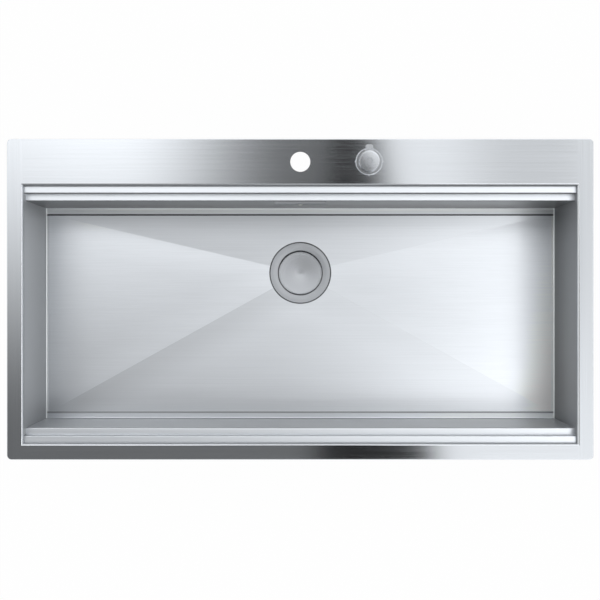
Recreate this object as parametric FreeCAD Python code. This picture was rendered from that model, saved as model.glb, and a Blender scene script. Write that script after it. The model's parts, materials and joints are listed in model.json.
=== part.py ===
import FreeCAD, Part
import math
import os

# Inset kitchen sink folded from stainless sheet, with a rotary pop-up waste and an overflow.
# Millimetres. Origin: middle of the deck's outline, in the plane of the worktop.
# +X right, +Y towards the tap strip, +Z up.

# Angles
full_turn = 360.0
half_turn = 180.0
quarter_turn = 90.0

# Deck
sheet = 1.2
deck_length = 1024.0
deck_depth = 560.0
deck_corner_radius = 8.0
rim_height = 2.4
rim_edge_radius = 1.0
side_rim = 28.0
front_rim = 28.5
rear_rim = 81.5
opening_bend = 3.5

# Ledges and bowl
ledge_width = 12.5
upper_ledge_drop = 10.0
lower_ledge_drop = 24.0
ledge_nose_radius = 1.8
ledge_crook_radius = 1.0
bowl_depth = 200.0
foot_bend = 2.0
long_strip = 12.0
end_strip = 6.0
floor_fall = 5.0

# Worktop that the sink is made for
worktop_thickness = 38.0
cutout_inset = 10.0

# General clearances
overrun = 5.0
running_clearance = 0.05
thread_clearance = 0.1
loose_clearance = 0.3

# Levels and faces that follow from the sizes above
deck_top = rim_height
deck_under = deck_top - sheet
upper_ledge = deck_top - upper_ledge_drop
lower_ledge = deck_top - lower_ledge_drop
floor_edge = deck_top - bowl_depth
floor_low = floor_edge - floor_fall
end_face = deck_length / 2 - side_rim
rear_face = deck_depth / 2 - rear_rim
front_face = front_rim - deck_depth / 2
rear_wall = rear_face - 2 * ledge_width
front_wall = front_face + 2 * ledge_width

# Waste opening in the floor
waste_setback = 123.0
recess_radius = 57.6
recess_drop = 1.8
floor_hole_radius = 45.0
waste_y = rear_wall - waste_setback
recess_level = floor_low - recess_drop
recess_under = recess_level - sheet

# Tap hole and its stiffening plate
tap_hole_radius = 17.5
tap_hole_edge = 40.0
tap_plate_length = 120.0
tap_plate_depth = 54.0
tap_plate_thickness = 1.5
tap_plate_corner = 5.0
tap_y = deck_depth / 2 - tap_hole_edge

# Foam seal inside the rim
seal_width = 8.0
seal_margin = 0.3

# Clamps that hold the rim down
anchor_inset = 18.0
anchor_sheet = 1.5
anchor_width = 30.0
anchor_drop = 20.0
anchor_flange = 7.5
anchor_slot_height = 3.0
anchor_slot_drop = 15.0
clamp_sheet = 2.0
clamp_width = 18.0
clamp_hook_reach = 4.5
clamp_hook_tip = 4.0
clamp_arm_drop = 8.0
clamp_screw_radius = 3.0
clamp_screw_below = 12.0
clamp_wing_radius = 7.0
clamp_wing_height = 5.0
clamp_pad_radius = 4.4
clamp_pad_thickness = 2.0
long_side_clamp_shares = (-0.84, -0.42, 0.42, 0.84)
short_side_clamp_shares = (-0.5, 0.5)

# Sound-deadening pads
pad_thickness = 3.0
floor_pad_length = 320.0
floor_pad_depth = 300.0
floor_pad_gap = 240.0
end_pad_length = 280.0
end_pad_height = 100.0
end_pad_drop = 70.0
pad_corner = 12.0

# Waste flange: steel dish that seats in the floor's recess
flange_gap = 0.8
flange_sheet = 1.2
flange_seal_thickness = 1.0
flange_slope_radius = 50.5
flange_slope_drop = 1.0
flange_bore = 43.0
shoulder_drop = 9.0
cup_radius = 39.5
cup_depth = 48.0
cup_floor = 1.5
spider_hub = 10.0
spider_opening = 28.0
spider_arm = 8.0
spider_arm_angle = 30.0
pin_bush_radius = 7.0
pin_bush_rise = 4.0
pin_bush_fall = 3.0
fixing_circle = 34.0
fixing_radius = 2.5
fixing_head_radius = 4.2
fixing_head_height = 2.6
fixing_length = 12.0
fixing_count = 3
fixing_start_angle = 90.0
flange_radius = recess_radius - flange_gap
flange_top = recess_level + flange_seal_thickness + flange_sheet
shoulder_level = flange_top - shoulder_drop
cup_level = flange_top - cup_depth
cup_under = cup_level - cup_floor

# Waste pot below the floor, with its outlet thread for a trap
pot_gasket_thickness = 2.0
pot_flange_radius = 55.5
pot_flange_thickness = 4.0
pot_radius = 49.5
pot_wall = 2.5
pot_length = 76.0
cone_height = 14.0
outlet_radius = 23.9
outlet_bore = 20.5
outlet_length = 24.0
lug_width = 12.0
lug_height = 11.0
lug_reach = 20.0
spigot_radius = 9.3
spigot_bore = 7.0
spigot_length = 26.0
pot_inlet_rise = 46.0
pot_top = recess_under - pot_gasket_thickness
pot_shelf = pot_top - pot_length
outlet_top = pot_shelf - cone_height
outlet_end = outlet_top - outlet_length
pot_inlet_level = pot_shelf + pot_inlet_rise

# Rocker that lifts the strainer
lift = 9.0
pivot_reach = 58.0
pivot_rise = 15.0
rocker_hub_radius = 5.0
rocker_pin_radius = 1.5
rocker_arm_radius = 2.5
rocker_pad_radius = 4.0
rocker_pad_length = 10.0
crank_arm = 34.0
crank_width = 7.0
crank_thickness = 5.0
fork_length = 8.0
fork_height = 9.0
fork_floor_gap = 3.0
barrel_radius = 2.0
barrel_length = 6.0
pivot_level = pot_shelf + pivot_rise
wire_travel = crank_arm * lift / pivot_reach
wire_level = pivot_level + crank_arm

# Lever housing on the side of the pot
boss_reach = 51.5
boss_width = 24.0
boss_below = 17.0
boss_above = 47.0
port_radius = 5.5
port_seal_radius = 9.0
port_seal_bore = 4.6
port_seal_thickness = 2.0
cover_length = 24.5
cover_wall = 2.0
cover_width = 22.0
cover_below = 16.0
cover_above = 46.0
cover_screw_radius = 1.5
cover_screw_head = 2.8
cover_screw_length = 6.0
cover_ear = 5.0

# Control cable
cable_radius = 2.5
wire_radius = 0.8
ferrule_radius = 3.2
ferrule_bore = 1.1
ferrule_length = 18.0
ferrule_boss_radius = 5.5
ferrule_boss_length = 9.0
cable_turn_run = 80.0
cable_drop_run = 116.0
cable_shoulder_in = 18.0
cable_shoulder_drop = 40.0
cable_wall_drop = 100.0
cable_floor_gap = 8.0
cable_sweep_out = 22.0
cable_sweep_in = 33.0
cable_sweep_drop = 8.0
cable_return_out = 46.0
cable_return_in = 81.0
cable_return_drop = 13.0
cable_entry_run = 60.0
bend_share = 0.45
clip_width = 12.0
clip_height = 8.0
clip_wall = 3.0

# Strainer that plugs the waste
pin_radius = 3.0
pin_head_radius = 6.0
pin_head_height = 2.0
pin_head_gap = 0.5
stem_radius = 4.0
stem_foot_radius = 6.0
stem_foot_height = 1.0
basket_sheet = 0.9
basket_bottom_radius = 34.5
basket_top_radius = 37.0
basket_rim_radius = 39.1
basket_height = 26.0
basket_hole_radius = 1.6
basket_hole_circles = (11.0, 18.0, 25.0, 31.0)
basket_hole_counts = (8, 14, 20, 26)
basket_slot_count = 24
basket_slot_width = 2.4
basket_slot_height = 12.0
plug_seal_inner = 39.8
plug_seal_outer = 42.4
plug_seal_height = 3.4
retainer_radius = 39.6
retainer_thickness = 2.8
retainer_hub_radius = 8.0
plug_radius = 41.3
plug_sheet = 1.2
plug_skirt_width = 1.2
plug_rim_round = 1.5
plug_rim_chamfer = 0.8
plug_dish = 1.6
plug_sink = 1.0

# Rotary knob on the tap strip
knob_x = 120.0
knob_gasket = 0.8
knob_gasket_radius = 22.0
base_radius = 23.7
base_height = 4.0
base_chamfer = 1.0
pip_reach = 26.0
pip_width = 3.6
pip_height = 3.0
pip_angles = (180.0, 270.0, 360.0)
bush_radius = 11.8
bush_length = 23.2
cap_radius = 17.5
cap_height = 14.5
cap_round = 1.2
cap_socket_depth = 10.0
tab_reach = 29.0
tab_root_width = 15.6
tab_tip_width = 11.2
tab_height = 6.0
tab_corner = 1.5
spindle_radius = 5.0
grub_radius = 2.0
grub_length = 12.0
grub_rise = 4.0
locknut_width = 34.0
locknut_sides = 6
locknut_height = 8.0
locknut_washer = 1.5
locknut_washer_radius = 20.0

# Eccentric drive under the knob
drive_length = 40.0
drive_depth = 30.0
drive_end_wall = 4.0
drive_side_wall = 3.0
drive_height = 31.0
drive_roof_gap = 1.0
drive_lid_thickness = 2.4
eccentric_radius = 10.0
eccentric_hub = 6.0
eccentric_floor = 2.0
eccentric_drop = 25.0
eccentric_pin_radius = 2.5
yoke_length = 18.0
yoke_thickness = 6.4
yoke_slot_margin = 0.8
yoke_hold = 5.0
knob_travel = 90.0
eccentric_start = -knob_travel / 2

# Overflow
overflow_cover_width = 90.0
overflow_cover_height = 28.0
overflow_cover_proud = 4.5
overflow_cover_sheet = 1.0
overflow_cover_gap = 3.4
overflow_inlet_width = 9.0
overflow_inlet_pitch = 12.0
overflow_inlet_height = 3.0
overflow_slot_width = 60.0
overflow_slot_height = 12.0
overflow_slot_corner = 3.0
overflow_gasket_thickness = 1.5
overflow_gasket_margin = 7.0
overflow_box_wall = 2.0
overflow_box_depth = 30.0
overflow_post_radius = 4.5
overflow_screw_radius = 2.0
overflow_screw_head = 4.5
overflow_screw_dish = 2.0
overflow_screw_length = 22.0

# Ribbed overflow hose
hose_bore = 9.4
hose_root = 10.6
hose_crest = 12.4
hose_cuff = 11.2
hose_setback = 20.0
hose_bend = 38.0
hose_overlap = 18.0
hose_cuff_length = 25.0
hose_rib_pitch = 4.4
hose_rib_crest_share = 0.36
hose_rib_flank_share = 0.16
hose_clamp_band = 1.0
hose_clamp_width = 8.0
hose_clamp_lock = 7.0

# Places of the mechanism that follow from its pieces
overflow_top = lower_ledge - overflow_cover_gap
overflow_middle = overflow_top - overflow_cover_height / 2
knob_y = tap_y
base_low = deck_top + knob_gasket
base_top = base_low + base_height
cap_low = base_top + loose_clearance
bush_end = base_low - bush_length
locknut_top = deck_under - locknut_washer
locknut_low = locknut_top - locknut_height
eccentric_top = deck_under - eccentric_drop
eccentric_throw = wire_travel / 2 / math.sin(math.radians(knob_travel / 2))
drive_floor = locknut_low - drive_height
drive_wire_level = drive_floor + loose_clearance + yoke_thickness / 2
hose_y = rear_wall + sheet + hose_setback


def vec(x, y, z):
    return FreeCAD.Vector(x, y, z)


def box(x_low, x_high, y_low, y_high, z_low, z_high):
    corner = vec(x_low, y_low, z_low)
    return Part.makeBox(x_high - x_low, y_high - y_low, z_high - z_low, corner)


def rod(radius, start, end):
    run = end.sub(start)
    return Part.makeCylinder(radius, run.Length, start, run)


def upright(radius, z_low, z_high, x=0.0, y=0.0):
    return rod(radius, vec(x, y, z_low), vec(x, y, z_high))


def ring(outer, inner, z_low, z_high):
    hole = upright(inner, z_low - overrun, z_high + overrun)
    return upright(outer, z_low, z_high).cut(hole)


def fused(shapes):
    return shapes[0].multiFuse(shapes[1:]).removeSplitter()


def placed(shape, x, y):
    return shape.translated(vec(x, y, 0))


def turned(shape, degrees):
    copy = shape.copy()
    copy.rotate(vec(0, 0, 0), vec(0, 0, 1), degrees)
    return copy


# Closed loop through flat corners (u, v, radius); place(u, v) sets a point in space.
def rounded_loop(corners, place):
    count = len(corners)
    starts = []
    ends = []
    middles = []
    for index in range(count):
        u, v, radius = corners[index]
        here = place(u, v)
        before = place(*corners[index - 1][:2])
        after = place(*corners[(index + 1) % count][:2])
        if radius == 0:
            starts.append(here)
            ends.append(here)
            middles.append(None)
            continue
        back = before.sub(here).normalize()
        ahead = after.sub(here).normalize()
        half = back.getAngle(ahead) / 2
        reach = radius / math.tan(half)
        centre_line = back.add(ahead).normalize()
        starts.append(here.add(back * reach))
        ends.append(here.add(ahead * reach))
        middles.append(here.add(centre_line * (radius / math.sin(half) - radius)))
    edges = []
    for index in range(count):
        if middles[index] is not None:
            edges.append(Part.Arc(starts[index], middles[index], ends[index]).toShape())
        following = (index + 1) % count
        if ends[index].distanceToPoint(starts[following]) > Part.Precision.confusion():
            edges.append(Part.LineSegment(ends[index], starts[following]).toShape())
    return Part.Wire(edges)


def prism(corners, place, direction):
    return Part.Face(rounded_loop(corners, place)).extrude(direction)


# Upright prism over a rectangle with round corners.
def slab(x_low, x_high, y_low, y_high, radius, z_low, z_high):
    corners = (
        (x_low, y_low, radius),
        (x_high, y_low, radius),
        (x_high, y_high, radius),
        (x_low, y_high, radius),
    )
    return prism(corners, lambda u, v: vec(u, v, z_low), vec(0, 0, z_high - z_low))


# Solid of revolution about Z from (radius, level) corners.
def turned_profile(points):
    corners = [vec(radius, 0, level) for radius, level in points]
    outline = Part.makePolygon(corners + [corners[0]])
    return Part.Face(outline).revolve(vec(0, 0, 0), vec(0, 0, 1), full_turn)


# Floor body: a block whose underside is four facets that meet at the waste.
def floor_body(skin):
    x_edge = end_face - end_strip
    y_low = front_wall + long_strip
    y_high = rear_wall - long_strip
    level = floor_edge - skin
    rim = (vec(-x_edge, y_low, level), vec(x_edge, y_low, level),
           vec(x_edge, y_high, level), vec(-x_edge, y_high, level))
    apex = vec(0, waste_y, floor_low - skin)
    faces = [Part.Face(Part.makePolygon(list(rim) + [rim[0]]))]
    for index in range(len(rim)):
        first = rim[index]
        second = rim[(index + 1) % len(rim)]
        faces.append(Part.Face(Part.makePolygon([first, second, apex, first])))
    return Part.Solid(Part.Shell(faces))


# Cross section of the bowl along X; skin 0 is the inner face, sheet the outer one.
def bowl_section(skin):
    bend = opening_bend - skin
    top = deck_top - skin
    nose = ledge_nose_radius - skin
    crook = ledge_crook_radius + skin
    rear_ledge = rear_face - ledge_width
    front_ledge = front_face + ledge_width
    corners = [
        (rear_face + skin, top, bend),
        (rear_face + skin, upper_ledge - skin, 0),
        (rear_ledge + skin, upper_ledge - skin, nose),
        (rear_ledge + skin, lower_ledge - skin, crook),
        (rear_wall + skin, lower_ledge - skin, nose),
        (rear_wall + skin, floor_edge - skin, foot_bend + skin),
        (front_wall - skin, floor_edge - skin, foot_bend + skin),
        (front_wall - skin, lower_ledge - skin, nose),
        (front_ledge - skin, lower_ledge - skin, crook),
        (front_ledge - skin, upper_ledge - skin, nose),
        (front_face - skin, upper_ledge - skin, 0),
        (front_face - skin, top, bend),
    ]
    return with_mouth(corners, rear_face + opening_bend, front_face - opening_bend, skin)


# Long section of the bowl along Y, with the end walls' bends.
def bowl_length_section(skin):
    reach = end_face + skin
    low = floor_edge - skin
    corners = [
        (reach, deck_top - skin, opening_bend - skin),
        (reach, low, foot_bend + skin),
        (-reach, low, foot_bend + skin),
        (-reach, deck_top - skin, opening_bend - skin),
    ]
    mouth = end_face + opening_bend
    return with_mouth(corners, mouth, -mouth, skin)


# Adds the flared mouth: the inner section runs on above the deck, the outer one stops under it.
def with_mouth(corners, mouth_start, mouth_end, skin):
    if skin > 0:
        first = [(mouth_start, deck_top - skin, 0)]
        last = [(mouth_end, deck_top - skin, 0)]
        return first + corners + last
    flare = overrun
    first = [(mouth_start + flare, deck_top + overrun, 0), (mouth_start + flare, deck_top, 0)]
    last = [(mouth_end - flare, deck_top, 0), (mouth_end - flare, deck_top + overrun, 0)]
    return first + corners + last


def bowl_body(skin):
    across = prism(bowl_section(skin), lambda u, v: vec(-deck_length, u, v),
                   vec(2 * deck_length, 0, 0))
    along = prism(bowl_length_section(skin), lambda u, v: vec(u, -deck_depth, v),
                  vec(0, 2 * deck_depth, 0))
    recess = upright(recess_radius + skin, recess_level - skin, floor_edge, 0, waste_y)
    return across.common(along).fuse(floor_body(skin)).fuse(recess)


def rim_slab(inset, radius, z_low, z_high):
    x_reach = deck_length / 2 - inset
    y_reach = deck_depth / 2 - inset
    return slab(-x_reach, x_reach, -y_reach, y_reach, radius, z_low, z_high)


# The whole formed sheet, before it is divided into deck, trough and end walls.
def formed_sheet():
    blank = rim_slab(0, deck_corner_radius, 0, deck_top)
    top_edges = [edge for edge in blank.Edges
                 if edge.BoundBox.ZMin > deck_under and edge.BoundBox.ZMax > deck_under]
    blank = blank.makeFillet(rim_edge_radius, top_edges)
    hollow = rim_slab(sheet, deck_corner_radius - sheet, -overrun, deck_under)
    rim = blank.cut(hollow)
    formed = rim.fuse(bowl_body(sheet)).cut(bowl_body(0))
    hole = upright(floor_hole_radius, recess_under - overrun, floor_edge, 0, waste_y)
    return formed.cut(hole)


def end_zone(side):
    upper = box(end_face, deck_length, -deck_depth, deck_depth, recess_under - overrun, upper_ledge)
    lower = box(end_face - foot_bend, deck_length, -deck_depth, deck_depth,
                recess_under - overrun, floor_edge + foot_bend)
    zone = upper.fuse(lower)
    if side < 0:
        zone = zone.mirror(vec(0, 0, 0), vec(1, 0, 0))
    return zone


def deck_zone():
    return box(-deck_length, deck_length, -deck_depth, deck_depth, upper_ledge, deck_top + overrun)


def make_deck(formed):
    deck = formed.common(deck_zone())
    tap_hole = upright(tap_hole_radius, -overrun, deck_top + overrun, 0, tap_y)
    knob_hole = upright(bush_radius + loose_clearance, -overrun, deck_top + overrun, knob_x, knob_y)
    return deck.cut(tap_hole).cut(knob_hole)


def overflow_slot(reach, y_low, y_high):
    half = overflow_slot_width / 2 + reach
    rise = overflow_slot_height / 2 + reach
    corners = (
        (-half, overflow_middle - rise, overflow_slot_corner),
        (half, overflow_middle - rise, overflow_slot_corner),
        (half, overflow_middle + rise, overflow_slot_corner),
        (-half, overflow_middle + rise, overflow_slot_corner),
    )
    return prism(corners, lambda u, v: vec(u, y_low, v), vec(0, y_high - y_low, 0))


def make_bowl_trough(formed):
    trough = formed.cut(deck_zone()).cut(end_zone(1)).cut(end_zone(-1))
    return trough.cut(overflow_slot(0, rear_wall - overrun, rear_wall + sheet + overrun))


def make_end_wall(formed, side):
    return formed.common(end_zone(side))


def make_tap_hole_plate():
    half = tap_plate_length / 2
    low = tap_y - tap_plate_depth / 2
    high = tap_y + tap_plate_depth / 2
    plate = slab(-half, half, low, high, tap_plate_corner, deck_under - tap_plate_thickness, deck_under)
    return plate.cut(upright(tap_hole_radius, -overrun, deck_top, 0, tap_y))


def make_rim_seal():
    outer_inset = sheet + seal_margin
    inner_inset = outer_inset + seal_width
    outer = rim_slab(outer_inset, deck_corner_radius - outer_inset, 0, deck_under)
    inner = rim_slab(inner_inset, 0, -overrun, deck_under + overrun)
    return outer.cut(inner)


# Clamp places: (x, y, turn), the piece's own +X pointing out over the worktop.
def clamp_places():
    places = []
    for share in long_side_clamp_shares:
        x = share * deck_length / 2
        places.append((x, deck_depth / 2, quarter_turn))
        places.append((x, -deck_depth / 2, -quarter_turn))
    for share in short_side_clamp_shares:
        y = share * deck_depth / 2
        places.append((deck_length / 2, y, 0))
        places.append((-deck_length / 2, y, half_turn))
    return places


def round_the_rim(shape):
    copies = [placed(turned(shape, turn), x, y) for x, y, turn in clamp_places()]
    return Part.makeCompound(copies)


# Anchor: an angle welded under the deck; its web has a slot for the clamp's hook.
def make_clamp_anchors():
    web_outer = -anchor_inset
    web_inner = web_outer - anchor_sheet
    half = anchor_width / 2
    low = deck_under - anchor_drop
    web = box(web_inner, web_outer, -half, half, low, deck_under)
    flange = box(web_inner, web_outer + anchor_flange, -half, half,
                 deck_under - anchor_sheet, deck_under)
    slot_top = deck_under - anchor_slot_drop
    slot_half = clamp_width / 2 + loose_clearance
    slot = box(web_inner - overrun, web_outer + overrun, -slot_half, slot_half,
               slot_top - anchor_slot_height, slot_top)
    return round_the_rim(fused([web, flange]).cut(slot))


def clamp_hook_level():
    return deck_under - anchor_slot_drop - anchor_slot_height / 2 + clamp_sheet / 2


# Clamp: a bent strip that hooks the anchor and reaches out under the worktop.
def make_clamps():
    leg_outer = -anchor_inset - anchor_sheet
    leg_inner = leg_outer - clamp_sheet
    half = clamp_width / 2
    hook_top = clamp_hook_level()
    arm_top = -worktop_thickness - clamp_arm_drop
    hook_end = -anchor_inset + clamp_hook_reach
    hook = box(leg_inner, hook_end, -half, half, hook_top - clamp_sheet, hook_top)
    tip = box(hook_end - clamp_sheet, hook_end, -half, half, hook_top, hook_top + clamp_hook_tip)
    leg = box(leg_inner, leg_outer, -half, half, arm_top - clamp_sheet, hook_top)
    arm = box(leg_inner, -rim_edge_radius, -half, half, arm_top - clamp_sheet, arm_top)
    hole = upright(clamp_screw_radius + thread_clearance, arm_top - clamp_sheet - overrun,
                   arm_top + overrun, clamp_screw_x(), 0)
    return round_the_rim(fused([hook, tip, leg, arm]).cut(hole))


def clamp_screw_x():
    return clamp_pad_radius + rim_edge_radius - cutout_inset


def make_clamp_screws():
    low = -worktop_thickness - clamp_arm_drop - clamp_sheet - clamp_screw_below
    shank = upright(clamp_screw_radius, low, -worktop_thickness - clamp_pad_thickness)
    pad = upright(clamp_pad_radius, -worktop_thickness - clamp_pad_thickness, -worktop_thickness)
    wing = box(-clamp_screw_radius, clamp_screw_radius, -clamp_wing_radius, clamp_wing_radius,
               low - clamp_wing_height, low)
    screw = fused([shank, pad, wing])
    return round_the_rim(placed(screw, clamp_screw_x(), 0))


def make_floor_pads():
    inner = floor_pad_gap / 2
    middle = (front_wall + rear_wall) / 2
    low = recess_under - pad_thickness - overrun
    pads = []
    for side in (-1, 1):
        x_near = side * inner
        x_far = side * (inner + floor_pad_length)
        block = slab(min(x_near, x_far), max(x_near, x_far), middle - floor_pad_depth / 2,
                     middle + floor_pad_depth / 2, pad_corner, low, floor_edge - sheet)
        pad = block.common(floor_body(sheet + pad_thickness)).cut(floor_body(sheet))
        under_edge = box(-deck_length, deck_length, -deck_depth, deck_depth,
                         floor_edge - sheet - pad_thickness, floor_edge - sheet)
        edge = block.common(under_edge).cut(floor_body(sheet))
        pads.append(fused([pad, edge]))
    return Part.makeCompound(pads)


def make_end_pads():
    middle = (front_wall + rear_wall) / 2
    top = -end_pad_drop
    face = end_face + sheet
    corners = (
        (middle - end_pad_length / 2, top - end_pad_height, pad_corner),
        (middle + end_pad_length / 2, top - end_pad_height, pad_corner),
        (middle + end_pad_length / 2, top, pad_corner),
        (middle - end_pad_length / 2, top, pad_corner),
    )
    right = prism(corners, lambda u, v: vec(face, u, v), vec(pad_thickness, 0, 0))
    left = right.mirror(vec(0, 0, 0), vec(1, 0, 0))
    return Part.makeCompound([left, right])


def around_waste(shape):
    return placed(shape, 0, waste_y)


def fixing_places():
    step = full_turn / fixing_count
    angles = [fixing_start_angle + step * index for index in range(fixing_count)]
    return [(fixing_circle * math.cos(math.radians(angle)),
             fixing_circle * math.sin(math.radians(angle)), angle) for angle in angles]


def make_waste_flange():
    dish = turned_profile((
        (flange_radius, flange_top - flange_sheet),
        (flange_radius, flange_top),
        (flange_slope_radius, flange_top),
        (flange_bore, flange_top - flange_slope_drop),
        (flange_bore, shoulder_level),
        (cup_radius, shoulder_level),
        (cup_radius, cup_level),
        (0, cup_level),
        (0, cup_under),
        (cup_radius + flange_sheet, cup_under),
        (cup_radius + flange_sheet, shoulder_level - flange_sheet),
        (flange_bore + flange_sheet, shoulder_level - flange_sheet),
        (flange_bore + flange_sheet, flange_top - flange_slope_drop - flange_sheet),
        (flange_slope_radius, flange_top - flange_sheet),
    ))
    windows = ring(spider_opening, spider_hub, cup_under - overrun, cup_level + overrun)
    for index in range(fixing_count):
        arm = box(0, cup_radius, -spider_arm / 2, spider_arm / 2,
                  cup_under - 2 * overrun, cup_level + 2 * overrun)
        windows = windows.cut(turned(arm, spider_arm_angle + index * full_turn / fixing_count))
    bush = upright(pin_bush_radius, cup_under - pin_bush_fall, cup_level + pin_bush_rise)
    flange = fused([dish.cut(windows), bush])
    pin_hole = upright(pin_radius + thread_clearance, cup_under - pin_bush_fall - overrun,
                       cup_level + pin_bush_rise + overrun)
    flange = flange.cut(pin_hole)
    for x, y, angle in fixing_places():
        hole = upright(fixing_radius + thread_clearance, cup_under - overrun, cup_level + overrun, x, y)
        flange = flange.cut(hole)
    return around_waste(flange)


def make_flange_seal():
    return around_waste(ring(flange_radius - flange_gap, flange_slope_radius, recess_level,
                             recess_level + flange_seal_thickness))


def make_pot_gasket():
    return around_waste(ring(pot_flange_radius, pot_radius - pot_wall, pot_top, recess_under))


def make_waste_pot():
    inner = pot_radius - pot_wall
    shell = turned_profile((
        (inner, pot_top),
        (pot_flange_radius, pot_top),
        (pot_flange_radius, pot_top - pot_flange_thickness),
        (pot_radius, pot_top - pot_flange_thickness),
        (pot_radius, pot_shelf),
        (outlet_radius, outlet_top),
        (outlet_radius, outlet_end),
        (outlet_bore, outlet_end),
        (outlet_bore, outlet_top),
        (inner, pot_shelf),
    ))
    boss = box(0, boss_reach, -boss_width / 2, boss_width / 2,
               pivot_level - boss_below, pivot_level + boss_above)
    spigot = rod(spigot_radius, vec(0, inner, pot_inlet_level),
                 vec(0, pot_radius + spigot_length, pot_inlet_level))
    hollow = turned_profile((
        (0, pot_top + overrun), (inner, pot_top + overrun), (inner, pot_shelf),
        (outlet_bore, outlet_top), (0, outlet_top)))
    pot = fused([shell, boss.cut(hollow), spigot.cut(hollow)])
    lugs = []
    for x, y, angle in fixing_places():
        lug = box(pot_radius - pot_wall / 2 - lug_reach, pot_radius - pot_wall / 2,
                  -lug_width / 2, lug_width / 2, cup_under - lug_height, cup_under)
        lugs.append(turned(lug, angle))
    pot = fused([pot] + lugs)
    for x, y, angle in fixing_places():
        hole = upright(fixing_radius + thread_clearance, cup_under - lug_height - overrun,
                       cup_under + overrun, x, y)
        pot = pot.cut(hole)
    inlet = rod(spigot_bore, vec(0, inner - overrun, pot_inlet_level),
                vec(0, pot_radius + spigot_length + overrun, pot_inlet_level))
    port = rod(port_radius, vec(inner - overrun, 0, pivot_level),
               vec(boss_reach + overrun, 0, pivot_level))
    seat = rod(port_seal_radius + thread_clearance,
               vec(boss_reach - port_seal_thickness, 0, pivot_level),
               vec(boss_reach + overrun, 0, pivot_level))
    pot = pot.cut(inlet).cut(port).cut(seat)
    for y, z in cover_screw_places():
        pot = pot.cut(rod(cover_screw_radius + thread_clearance,
                          vec(boss_reach + cover_wall - cover_screw_length, y, z),
                          vec(boss_reach + overrun, y, z)))
    return around_waste(pot)


def make_waste_screws():
    screws = []
    for x, y, angle in fixing_places():
        head = upright(fixing_head_radius, cup_level, cup_level + fixing_head_height, x, y)
        shank = upright(fixing_radius, cup_level - fixing_length, cup_level, x, y)
        screws.append(fused([head, shank]))
    return around_waste(Part.makeCompound(screws))


def make_lever_seal():
    seal = rod(port_seal_radius, vec(boss_reach - port_seal_thickness, 0, pivot_level),
               vec(boss_reach, 0, pivot_level))
    bore = rod(port_seal_bore, vec(0, 0, pivot_level), vec(boss_reach + overrun, 0, pivot_level))
    return around_waste(seal.cut(bore))


def cover_screw_places():
    offset = cover_ear / 2
    low = pivot_level - cover_below - offset
    high = pivot_level + cover_above + offset
    return ((0, low + cover_ear), (0, high - cover_ear))


# Lever cover: a lid over the crank, with the seat of the cable's end.
def make_lever_cover():
    half = cover_width / 2
    face = boss_reach + cover_length
    low = pivot_level - cover_below
    high = pivot_level + cover_above
    shell = box(boss_reach, face, -half, half, low, high)
    hollow = box(boss_reach - overrun, face - cover_wall, cover_wall - half, half - cover_wall,
                 low + cover_ear, high - cover_ear)
    boss = rod(ferrule_boss_radius, vec(face - cover_wall, 0, wire_level),
               vec(face + ferrule_boss_length, 0, wire_level))
    cover = fused([shell, boss]).cut(hollow)
    bore = rod(ferrule_radius + thread_clearance, vec(face - cover_wall - overrun, 0, wire_level),
               vec(face + ferrule_boss_length + overrun, 0, wire_level))
    pin_hole = rod(rocker_pin_radius + running_clearance, vec(pivot_reach, -cover_width, pivot_level),
                   vec(pivot_reach, cover_width, pivot_level))
    cover = cover.cut(bore).cut(pin_hole)
    for y, z in cover_screw_places():
        access = rod(cover_screw_head + loose_clearance, vec(boss_reach + cover_wall, y, z),
                     vec(face + overrun, y, z))
        hole = rod(cover_screw_radius + thread_clearance, vec(boss_reach - overrun, y, z),
                   vec(boss_reach + cover_wall + overrun, y, z))
        cover = cover.cut(access).cut(hole)
    return around_waste(cover)


def make_cover_screws():
    screws = []
    for y, z in cover_screw_places():
        seat = boss_reach + cover_wall
        head = rod(cover_screw_head, vec(seat, y, z), vec(seat + cover_wall, y, z))
        shank = rod(cover_screw_radius, vec(seat - cover_screw_length, y, z), vec(seat, y, z))
        screws.append(fused([head, shank]))
    return around_waste(Part.makeCompound(screws))


def make_rocker_pin():
    half = cover_width / 2
    return around_waste(rod(rocker_pin_radius, vec(pivot_reach, -half, pivot_level),
                            vec(pivot_reach, half, pivot_level)))


# Rocker: a bell crank; its long arm lifts the pin and its short arm is pulled by the wire.
def make_rocker():
    half = crank_width / 2
    hub = rod(rocker_hub_radius, vec(pivot_reach, -half, pivot_level),
              vec(pivot_reach, half, pivot_level))
    arm = rod(rocker_arm_radius, vec(0, 0, pivot_level), vec(pivot_reach, 0, pivot_level))
    pad = rod(rocker_pad_radius, vec(0, -rocker_pad_length / 2, pivot_level),
              vec(0, rocker_pad_length / 2, pivot_level))
    slot_low = wire_level - fork_floor_gap
    fork_top = wire_level + fork_height / 2
    crank = box(pivot_reach - crank_thickness / 2, pivot_reach + crank_thickness / 2, -half, half,
                pivot_level, slot_low)
    fork = box(pivot_reach - fork_length / 2, pivot_reach + fork_length / 2, -half, half,
               fork_top - fork_height, fork_top)
    rocker = fused([hub, arm, pad, crank, fork])
    slot_half = barrel_radius + loose_clearance
    slot = box(pivot_reach - slot_half, pivot_reach + slot_half, -crank_width, crank_width,
               slot_low, fork_top + overrun)
    slit_half = wire_radius + loose_clearance
    slit = box(pivot_reach, pivot_reach + fork_length, -slit_half, slit_half,
               slot_low, fork_top + overrun)
    pin_hole = rod(rocker_pin_radius + running_clearance, vec(pivot_reach, -crank_width, pivot_level),
                   vec(pivot_reach, crank_width, pivot_level))
    return around_waste(rocker.cut(slot).cut(slit).cut(pin_hole))


def cover_face():
    return boss_reach + cover_length


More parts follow.
